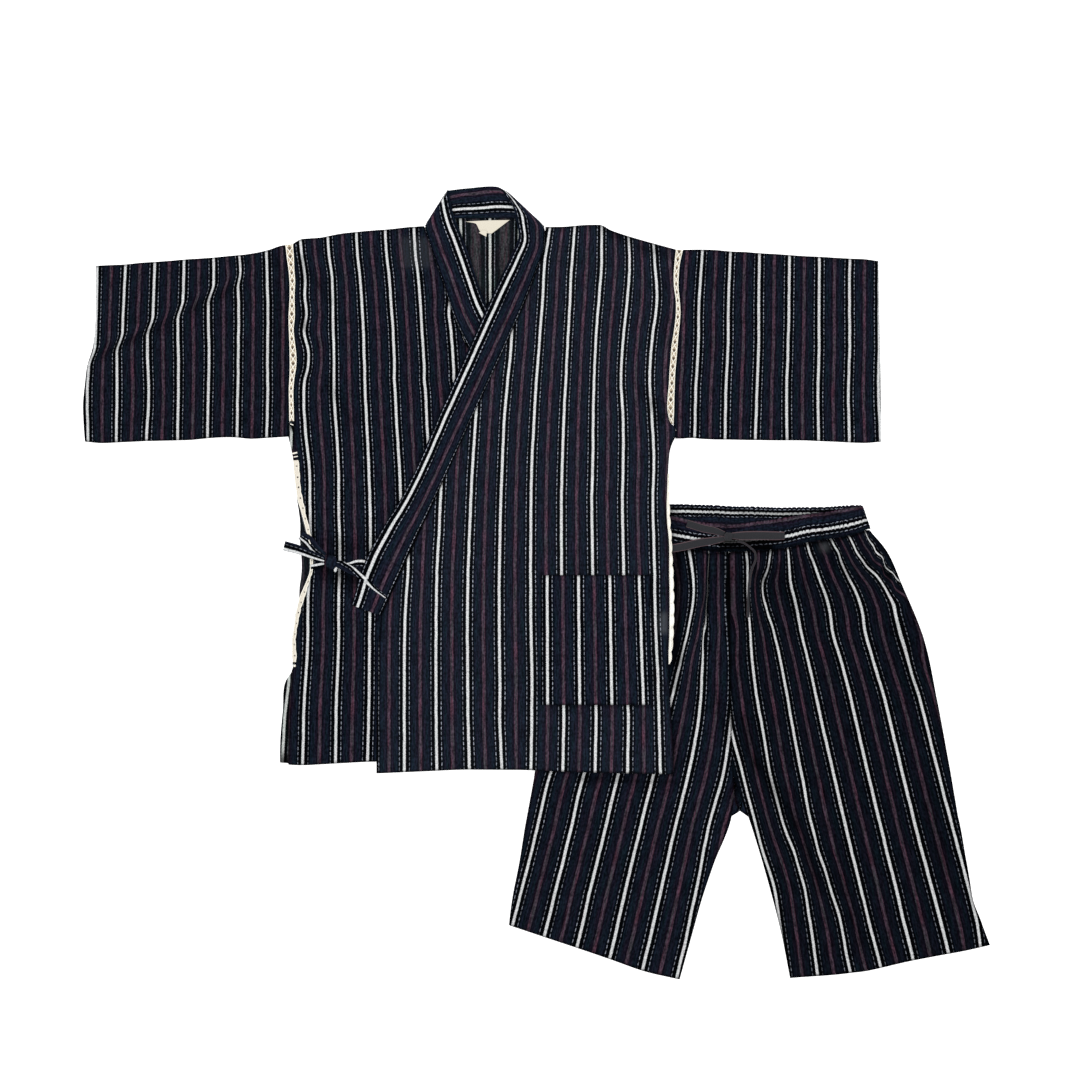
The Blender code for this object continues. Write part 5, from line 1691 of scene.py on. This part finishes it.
@dataclass
class Waistband:
    """The elastic waistband, one loop pressed flat and gathered all along.

    Attributes:
        cell: distance between its grid's rows.
        columns: how many cells lie across.
        wall: thickness.
        gather: width of one gather.
        depth: how high a gather stands.
        covered_x: the jacket covers it up to here.
        glooms: soft darker streaks of painted shade.
    """

    cell: float = 0.0014
    columns: int = 16
    wall: float = 0.0008
    gather: float = 0.0066
    depth: float = 0.0011
    covered_x: float = 0.200
    glooms: tuple = BAND_GLOOMS

    def gathers(self, x: Array) -> Array:
        """How high each place stands in its gather, 0 to 1, each gather a little different."""
        turns = x / self.gather + 0.45 * np.sin(52 * x + 1) + 0.28 * np.sin(131 * x) + 0.12 * np.sin(317 * x + 3)
        ridge = 1 - np.exp(-((turns - np.floor(turns) - 0.5) / 0.13) ** 2)
        return ridge * (0.80 + 0.20 * np.sin(97 * x + 2)) * (0.3 + 0.7 * step(x, self.covered_x, 0.215))

    def shadow(self, points: Array, ridges: Array) -> Array:
        """How dark the band is: in its gathers, along its lower side and below the tape.

        Args:
            points: the band's places, rows along it.
            ridges: how high each of them stands in its gather.

        Returns:
            The shares of light lost.
        """
        share = np.linspace(0, 1, self.columns + 1)[None, :]
        light = (1 - 0.50 * (1 - step(ridges, 0.05, 0.60))) * (1 - 0.62 * step(share, 0.80, 0.98))
        return 1 - light * (1 - gloomed(points[..., :2], self.glooms))

    def layer(self, lines: tuple, table: tuple) -> tuple:
        """One side of the loop.

        Args:
            lines: lines across the band.
            table: shares of the way across and the stripe numbers there.

        Returns:
            Its places, seen from above, its stripe numbers and its gathers.
        """
        places, _ = across_grid(lines, self.cell, self.columns)
        share = np.linspace(0, 1, self.columns + 1)
        lean = 0.0016 * np.sin(share * 5.5 + 40 * places[:, :1, 0])
        ridge = self.gathers(places[..., 0] + lean)
        edge = np.clip(1 - share / 0.25, 0, 1)
        places[..., 1] += 0.0018 * (ridge - 0.6) * edge
        shares, numbers = zip(*table)
        wobble = 0.05 * (ridge - 0.5) * np.sin(math.pi * share)
        return places, np.interp(share, shares, numbers)[None, :] + wobble, ridge

    def build(self) -> Object:
        """Builds the band as one loop."""
        solid = Solid("waistband")
        front, front_numbers, front_ridge = self.layer(WAIST_FRONT, WAIST_FRONT_STRIPES)
        back, back_numbers, back_ridge = self.layer(WAIST_BACK, WAIST_BACK_STRIPES)
        share = np.linspace(0, 1, self.columns + 1)
        swell = 0.35 + 0.65 * np.sin(math.pi * np.clip(share * 0.8 + 0.1, 0, 1))
        heights = softened(solid.top(front[..., 0], front[..., 1]), 16) - self.wall / 2 - 0.0003
        heights = heights + self.depth * front_ridge * swell
        front = np.dstack([front, heights])
        back = np.dstack([back, 0.0006 + self.depth * back_ridge * 0.5 * swell])
        noses = []
        for end, outward in ((-1, 1), (0, -1)):
            middle = (front[end] + back[end]) / 2
            middle[:, 0] += outward * np.abs(front[end][:, 2] - back[end][:, 2]) / 2
            noses.append(middle[None])
        points = np.concatenate([front, noses[0], back[::-1], noses[1]])
        numbers, ridges = (
            np.concatenate([ahead, ahead[-1:], behind[::-1], ahead[:1]])
            for ahead, behind in ((front_numbers, back_numbers), (front_ridge, back_ridge))
        )
        made = cloth_sheet(
            "waistband_cloth", points, np.dstack([numbers, points[..., 0]]), self.wall, closed=True, middle=True,
            shades={"shadow": self.shadow(points, ridges)},
        )
        self.points = points
        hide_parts("waistband")
        return made


# --- Creases ---
JACKET_CREASES = rows_of(Crease,
    (-335, 400, -262, 300, 16, 0.9), (-335, 285, -250, 235, 16, 0.8), (-310, 65, -215, 120, 18, 1),
    (-300, -10, -215, -75, 18, 0.8), (-180, 400, -170, 250, 16, 0.7), (80, 450, 105, 300, 18, 0.9),
    (170, 300, 85, 235, 18, 1), (160, 170, 20, 120, 20, 0.8), (150, 50, 40, 60, 16, 0.7),
    (-150, -50, -80, -200, 20, 0.8),
)
SLEEVE_CREASES = rows_of(Crease,
    (-663, 330, -415, 463, 10, 1.2), (-663, 316, -405, 448, 7, -0.8), (-380, 430, -450, 330, 18, 1),
    (-620, 350, -540, 310, 18, 1.1), (-390, 260, -470, 250, 16, 0.8), (230, 430, 300, 340, 18, 1),
    (460, 330, 380, 290, 18, 0.8), (240, 270, 320, 240, 16, 0.7),
)
SHORTS_CREASES = rows_of(Crease,
    (200, -300, 110, -400, 20, 0.9), (60, -320, 30, -450, 20, 0.8), (340, -240, 420, -340, 20, 1),
    (520, -20, 540, -150, 18, 1.1), (560, -300, 580, -430, 20, 0.9),
)
# Gathers below the waistband: each starts under the band and fans out
SHORTS_GATHERS = rows_of(Crease,
    (209, 84, 200, -60, 5, 2.2), (219, 80, 214, -20, 4, 1.8), (228, 80, 224, -60, 5, 2.3),
    (238, 80, 235, -100, 5, 2.6), (247, 80, 245, -20, 4, 1.8), (256, 80, 255, -60, 5, 2.2),
    (266, 80, 267, -90, 5, 2.5), (277, 78, 279, -30, 4, 2), (288, 78, 290, -70, 5, 2.4), (298, 78, 300, -30, 4, 2),
    (308, 78, 311, -100, 5, 2.7), (320, 80, 325, -40, 4, 2), (330, 82, 338, -80, 5, 2.5), (341, 82, 351, -30, 4, 2),
    (352, 84, 364, -90, 5, 2.6), (362, 86, 374, -30, 4, 1.9), (374, 88, 390, -70, 5, 2.5), (386, 88, 404, -30, 5, 2),
    (398, 92, 421, -90, 5, 2.6), (410, 94, 432, -20, 5, 2), (423, 97, 452, -70, 6, 2.5), (436, 100, 464, -10, 5, 2),
    (449, 103, 484, -40, 6, 2.4), (461, 106, 494, 10, 5, 1.9), (472, 109, 506, 0, 5, 2),
)


# --- Shades and pale patches ---
RIGHT_SLEEVE_GLOOMS = rows_of(Gloom,
    (-640, 325, -585, 352, 7, 0.3), (-575, 357, -530, 380, 7, 0.3), (-500, 392, -440, 430, 8, 0.3),
    (-375, 470, -372, 250, 6, 0.25),
)
RIGHT_FRONT_GLOOMS = rows_of(Gloom,
    (-288, 15, -262, 4, 6, 0.7), (-318, 24, -300, 18, 5, 0.55), (-300, 44, -290, 40, 5, 0.45),
    (-341, 470, -339, 440, 5, 0.45), (-340, 395, -336, 370, 5, 0.5), (-338, 330, -342, 300, 5, 0.45),
    (-300, 285, -272, 240, 9, 0.35), (-318, 440, -300, 410, 8, 0.3), (-300, 60, -270, 48, 14, 0.45),
    (-310, 12, -268, 0, 13, 0.45), (-330, 90, -320, 30, 8, 0.35), (-250, 60, -200, 20, 12, 0.25),
)
LEFT_FRONT_GLOOMS = rows_of(Gloom,
    (172, 262, 180, 236, 8, 0.4), (150, 285, 166, 255, 9, 0.3), (100, 512, 130, 498, 8, 0.55),
    (150, 488, 185, 478, 8, 0.45), (186, 440, 184, 350, 6, 0.25), (60, 20, 90, -30, 16, 0.18),
)
RIGHT_LEG_GLOOMS = rows_of(Gloom,
    (204, 40, 203, -110, 10, 0.72), (203, -110, 200, -150, 7, 0.45), (205, 48, 280, 49, 4.5, 0.5),
    (249.6, 52, 248.6, 4, 3.2, 0.95), (248.6, 4, 247, -44, 3.2, 0.95), (247, -44, 245, -60, 3, 0.6),
    (196, 54, 282, 54, 7, 0.88), (203, 40, 196, -120, 7, 0.4), (268, 40, 272, 10, 6, 0.4),
    (258, -150, 276, -230, 7, 0.35), (190, -180, 195, -250, 9, 0.3), (200, -288, 60, -283, 5, 0.45),
)
LEFT_LEG_GLOOMS = rows_of(Gloom,
    (285, 50, 345, 48, 5, 0.55), (345, 52, 440, 62, 4, 0.4), (334, 24, 329, 6, 5, 0.55), (503, 22, 512, 8, 4, 0.85),
    (276, 54, 340, 52, 7, 0.88), (340, 55, 400, 62, 5, 0.8), (400, 66, 455, 76, 4, 0.5),
    (322, -262, 372, -345, 9, 0.5), (378, -350, 412, -440, 9, 0.45), (300, -200, 318, -262, 8, 0.4),
    (352, 20, 372, -40, 7, 0.4), (305, 30, 330, 0, 8, 0.35), (420, 50, 450, 10, 8, 0.3),
    (520, -60, 545, -160, 9, 0.25), (560, -300, 590, -420, 12, 0.3), (440, -420, 470, -520, 12, 0.3),
)
BACK_GLOOMS = (Gloom(-371, -252, -358, -252, 8, 0.8), Gloom(-361, 227.5, -350, 227.5, 3.2, 0.95))
RIGHT_FRONT_SPOTS = (Spot(-197, 458, -153, 502, 0.075),)
LEFT_FRONT_SPOTS = (Spot(179, -72, 190, -42, 0.24), Spot(188, 120, 193, 190, 0.06))
LEFT_LEG_SPOTS = (Spot(411, 47, 424, 60, 0.24),)


# --- The shorts ---
class Uncovered(Relief):
    """Creases that die out where the jacket lies on the shorts."""

    def __init__(self, creases: tuple, swell: float, right: float, hem: float):
        """Keeps the creases.

        Args:
            creases: the listed ridges and troughs.
            swell: height of the slow unevenness between them.
            right: the jacket covers the shorts up to here, x in mm.
            hem: and down to here, y in mm.
        """
        super().__init__(creases, swell)
        self.right = right
        self.hem = hem

    def height(self, x: Array, y: Array) -> Array:
        """Heights of the creases clear of the jacket."""
        beside = step(x, self.right * MM, (self.right + 22) * MM)
        under = 1 - step(y, (self.hem - 25) * MM, self.hem * MM)
        return super().height(x, y) * np.maximum(beside, under)


@dataclass
class Shorts:
    """The shorts: four leg panels, the gathered waistband and the drawstring's bow.

    Attributes:
        cotton: the striped cotton's material.
        tape: the drawstring's material.
        jacket_right: the jacket covers the shorts up to here, x in mm.
        jacket_hem: and down to here, y in mm.
    """

    cotton: Material
    tape: Material
    jacket_right: float = 200.0
    jacket_hem: float = -285.0

    def build_drawstring(self) -> None:
        """Builds the bow: its free tail, its loops, its short tail and its knot."""
        tail = Ribbon("drawstring_tail", DRAWSTRING_TAIL_ROUTE, (-1, 1), FLAT, 0.0007, 0.0005)
        piece = tail.build()
        dress(piece, self.tape)
        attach(piece, "root")
        for ribbon in (
            Ribbon("drawstring_left_tail", DRAWSTRING_LEFT_TAIL_ROUTE, (-1, 1), FLAT, 0.0007, 0.0006),
            Ribbon("drawstring_left_loop", DRAWSTRING_LEFT_LOOP_ROUTE, (-1, 1), FLAT, 0.0007, 0.0004, 0.0006),
            Ribbon("drawstring_right_loop", DRAWSTRING_RIGHT_LOOP_ROUTE, (-1, 1), FLAT, 0.0007, 0.0004, -0.0008),
        ):
            lay(ribbon, self.tape)
        knot = Knot("drawstring_knot", 80, 2.0, (-1, 1)).build()
        dress(knot, self.tape)
        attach(knot, "root")

    def build(self) -> None:
        """Builds the shorts."""
        self.build_drawstring()
        relief = Uncovered(SHORTS_CREASES + SHORTS_GATHERS, 0.0004, self.jacket_right, self.jacket_hem)
        right_stripes, left_stripes = StripeMap(RIGHT_LEG_STRIPES), StripeMap(LEFT_LEG_STRIPES)
        for panel in (
            Panel("right_leg_back_cloth", "right_leg_back",
                  ((-39.9, -495.2), (206.6, -573.9), (278.9, 78.7), (77.6, 78.7)), right_stripes, FLAT, 0.008),
            Panel("left_leg_back_cloth", "left_leg_back",
                  ((367.6, -572), (657.6, -524.2), (482.6, 77.5), (279.3, 78.7)), left_stripes, FLAT, 0.008),
            Panel("right_leg_front_cloth", "right_leg_front",
                  ((-39.9, -495.2), (206.6, -573.5), (278.9, 44.9), (77.6, 75.5)), right_stripes, relief,
                  hem=HEM, dim=0.20, dusk=0.10, glooms=RIGHT_LEG_GLOOMS, reach=0.0009),
            Panel("left_leg_front_cloth", "left_leg_front",
                  ((367.6, -571.3), (654.7, -524.2), (482.8, 77.8), (279.3, 44.9)), left_stripes, relief,
                  hem=HEM, dim=0.46, dusk=0.14, glooms=LEFT_LEG_GLOOMS, spots=LEFT_LEG_SPOTS),
        ):
            lay(panel, self.cotton)
        lay(Waistband(), self.cotton)


# --- The jacket ---
@dataclass
class Jacket:
    """The wrap jacket: body, collar, sleeves, pocket, lace at the seams, ties and neck label.

    Attributes:
        cotton: the striped cotton's material.
        inside: the same cotton, its wrong side.
        thread: the lace's thread.
        grounds: the ground of each lace, by its name.
        satin: the label's material.
        swell: height of the slow unevenness of its cloth.
    """

    cotton: Material
    inside: Material
    thread: Material
    grounds: dict
    satin: Material
    swell: float = 0.0004

    def build_body(self, relief: Relief) -> None:
        """Builds the back, the two fronts, the pocket and the collar."""
        panels = (
            (Panel("back_body_cloth", "back_body",
                   ((-371.9, -259.6), (190.7, -276.2), (201.8, 484.3), (-351.2, 491.5)),
                   StripeMap(BACK_STRIPES), FLAT, 0.007, HEM, lines=BACK_EDGES, glooms=BACK_GLOOMS,
                   turned=(Side.LOWER, Side.RIGHT, Side.UPPER)), self.inside, "left_leg_front"),
            (Panel("right_front_cloth", "right_front",
                   ((-359, -262.4), (81.9, -264.6), (-163, 516.9), (-351.2, 491.5)),
                   StripeMap(RIGHT_FRONT_STRIPES), relief, hem=HEM, dim=0.12, dusk=0.08, lines=RIGHT_FRONT_EDGES,
                   spots=RIGHT_FRONT_SPOTS, glooms=RIGHT_FRONT_GLOOMS), self.cotton, "back_body"),
            (Panel("left_front_cloth", "left_front",
                   ((-231.9, -275.1), (190.7, -276.2), (201.8, 484.3), (13.3, 516.9)),
                   StripeMap(LEFT_FRONT_STRIPES), relief, hem=HEM, haze=0.008, lines=LEFT_FRONT_EDGES,
                   spots=LEFT_FRONT_SPOTS, glooms=LEFT_FRONT_GLOOMS), self.cotton, "right_front"),
            (Panel("pocket_cloth", "pocket", ((6.5, -175.4), (164.6, -175.4), (164.6, 12.3), (6.5, 12.3)),
                   StripeMap(POCKET_STRIPES), relief, 0.003), self.cotton, "left_front"),
        )
        for panel, material, under in panels:
            lay(panel, material)
        lay(Collar(relief), self.cotton)

    def build_sleeves(self) -> None:
        """Builds the two sleeves."""
        relief = Relief(SLEEVE_CREASES, 0.0004)
        for sleeve in (
            Sleeve("right_sleeve_cloth", "right_sleeve",
                   ((-656.9, 205.5), (-359.9, 212.7), (-363.6, 490.8), (-638.7, 461.1)),
                   StripeMap(RIGHT_SLEEVE_STRIPES, RIGHT_SLEEVE_JOGS), relief, above=0.0014, dim=0.16,
                   dusk=0.15, lines=RIGHT_SLEEVE_EDGES, glooms=RIGHT_SLEEVE_GLOOMS,
                   turned=(Side.LOWER, Side.RIGHT, Side.UPPER)),
            Sleeve("left_sleeve_cloth", "left_sleeve",
                   ((201.3, 211.6), (499.5, 205.5), (495.6, 467.6), (213.2, 483.1)),
                   StripeMap(LEFT_SLEEVE_STRIPES), relief, above=0.0014, dim=0.05, dusk=0.10,
                   lines=LEFT_SLEEVE_EDGES, turned=(Side.LOWER, Side.UPPER, Side.LEFT)),
        ):
            lay(sleeve, self.cotton)

    def build_laces(self, relief: Relief) -> None:
        """Builds the lace at both armholes and both side seams."""
        laces = (
            Lace("right_armhole_lace", RIGHT_ARMHOLE_LACE_ROUTE, FLAT, tacks=((-357, 231.4, -352.3, 229.6, 0.45),),
                 covered=(0.0006, 0.0006)),
            Lace("left_armhole_lace", LEFT_ARMHOLE_LACE_ROUTE, FLAT, tacks=((196.5, 220.7, 202.3, 222.6, 0),),
                 covered=(0.0002, 0.0002)),
            Lace("right_side_lace", RIGHT_SIDE_LACE_ROUTE, relief, 0.0156, (0, 0.0014), tacks=RIGHT_SIDE_TACKS,
                 close=True, covered=(0, 0), sunk=-0.0005),
            Lace("left_side_lace", LEFT_SIDE_LACE_ROUTE, relief, 0.0179, (0.0024, 0), close=True,
                 covered=(0, 0.0006), sunk=0.0009),
        )
        for lace in laces:
            ground, threads = lace.build()
            dress(ground, self.grounds[lace.name])
            dress(threads, self.thread)
            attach(threads, "root")
            declare(ground)

    def build_ties(self, relief: Relief) -> None:
        """Builds the ties knotted at the wearer's right side."""
        for ribbon in (
            Ribbon("tie_lead", TIE_LEAD_ROUTE, (-0.08, 0.40), relief),
            Ribbon("tie_loop", TIE_LOOP_ROUTE, (-0.04, 0.14), relief),
            Ribbon("tie_strap", TIE_STRAP_ROUTE, TIE_STRAP_STRIPES, relief),
            Ribbon("tie_right_tail", TIE_RIGHT_TAIL_ROUTE, (0.26, -0.056), relief, doubled=0.0003),
            Ribbon("tie_left_tail", TIE_LEFT_TAIL_ROUTE, TIE_LEFT_TAIL_STRIPES, relief),
        ):
            lay(ribbon, self.cotton)
        knot = Knot(
            "tie_knot", 60, 1.0, (0.22, 0.40), self.swell, (-297, 30.8, 8, 10.4), (-290.4, 20, 3, 4),
        ).build()
        dress(knot, self.cotton)
        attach(knot, "root")

    def build_label(self) -> None:
        """Builds the label and its tab, both bare."""
        across = StripeMap((level(500, 0, -103, -59), level(525, 0, -103, -59)))
        for name, corners, cell, edges in (
            ("neck_label", ((-87.7, 519.6), (-67.7, 508.2), (-38.3, 522), (-103, 522)), 0.0015, LABEL_EDGES),
            ("size_tab", ((-80.5, 503.7), (-72.9, 500.4), (-70.4, 507.4), (-81.2, 508.8)), 0.0010, TAB_EDGES),
        ):
            label = Panel(name + "_cloth", name, corners, across, FLAT, cell, wall=0.0004, lines=edges)
            lay(label, self.satin)

    def build(self) -> None:
        """Builds the jacket."""
        relief = Relief(JACKET_CREASES, self.swell)
        self.build_body(relief)
        self.build_sleeves()
        self.build_laces(relief)
        self.build_ties(relief)
        self.build_label()


# --- The studio ---
@dataclass
class Studio:
    """A camera straight above the set, soft light and a pale floor.

    Attributes:
        aim: the point under the camera, x and y.
        distance: from the floor to the camera.
        lens: focal length in mm on a 36 mm sensor.
        sky: how bright the light from all round is.
    """

    aim: tuple = (0.0051, 0.0631)
    distance: float = 4.35
    lens: float = 100.0
    sky: float = 0.80

    def camera(self) -> None:
        """Sets up the camera."""
        data = bpy.data.cameras.new("camera")
        data.lens, data.sensor_width = self.lens, 36.0
        made = bpy.data.objects.new("camera", data)
        made.location = (*self.aim, self.distance)
        bpy.context.scene.collection.objects.link(made)
        bpy.context.scene.camera = made

    def lamp(self, name: str, place: tuple, size: float, power: float) -> None:
        """Adds a soft square lamp that looks at the middle of the set."""
        data = bpy.data.lights.new(name, "AREA")
        data.size, data.energy = size, power
        made = bpy.data.objects.new(name, data)
        made.location = place
        made.rotation_euler = (-Vector(place)).to_track_quat("-Z", "Y").to_euler()
        bpy.context.scene.collection.objects.link(made)

    def floor(self) -> None:
        """Adds the floor, white enough to show no shadow."""
        bpy.ops.mesh.primitive_plane_add(size=12, location=(0, 0, -0.0002))
        made = bpy.context.object
        made.name = "floor"
        graph = Graph("floor_white")
        graph.set(Base_Color=(0.9, 0.9, 0.9, 1), Roughness=1.0, Specular_IOR_Level=0.0)
        graph.set(Emission_Color=(1, 1, 1, 1), Emission_Strength=0.75)
        dress(made, graph.material)

    def build(self) -> None:
        """Sets up camera, lamps, sky and floor."""
        self.camera()
        self.lamp("key", (-1.6, 1.9, 2.2), 1.6, 42)
        self.lamp("fill", (2.2, -1.2, 2.4), 2.2, 22)
        sky = bpy.data.worlds.new("sky")
        sky.use_nodes = True
        sky.node_tree.nodes["Background"].inputs["Strength"].default_value = self.sky
        sky.node_tree.nodes["Background"].inputs["Color"].default_value = (1, 1, 1, 1)
        bpy.context.scene.world = sky
        bpy.context.scene.view_settings.view_transform = "Standard"
        self.floor()


def main() -> None:
    """Builds the studio, the shorts and the jacket."""
    logging.basicConfig(level=logging.INFO, format="%(message)s")
    Studio().build()
    cotton = StripedCotton().make()
    inside = INSIDE.make()
    thread = LaceCotton("lace_thread", Stop(0, 255, 254, 246), Stop(0, 238, 231, 214)).make()
    # The lace grounds are partly painted shade: the armhole net's tan is the lace's back layer seen through its holes
    # in shade, and each eye is what lies below a hole, in shade.
    net = LaceGround(
        "lace_net", net=Stop(0, 206, 192, 168), shade=Stop(0, 152, 134, 110), eye=Stop(0, 76, 62, 52),
        spread=0.40, length=0.11, every=0.5,
    ).make()
    close = LaceGround(
        "lace_close_net", net=Stop(0, 246, 241, 230), shade=Stop(0, 196, 186, 170), eye=Stop(0, 14, 10, 10),
        spread=0.34, length=0.085, every=1.0, phase=0.47, aside=0.16,
    ).make()
    edge = LaceGround(
        "lace_edge_net", net=Stop(0, 255, 255, 252), shade=Stop(0, 244, 242, 238), eye=Stop(0, 226, 222, 214),
        spread=0.30, length=0.10, every=1.0,
    ).make()
    grounds = {
        "right_armhole_lace": net, "left_armhole_lace": net, "right_side_lace": close, "left_side_lace": edge,
    }
    Shorts(cotton, WovenTape().make()).build()
    Jacket(cotton, inside, thread, grounds, LabelSatin().make()).build()


if __name__ == "__main__":
    main()
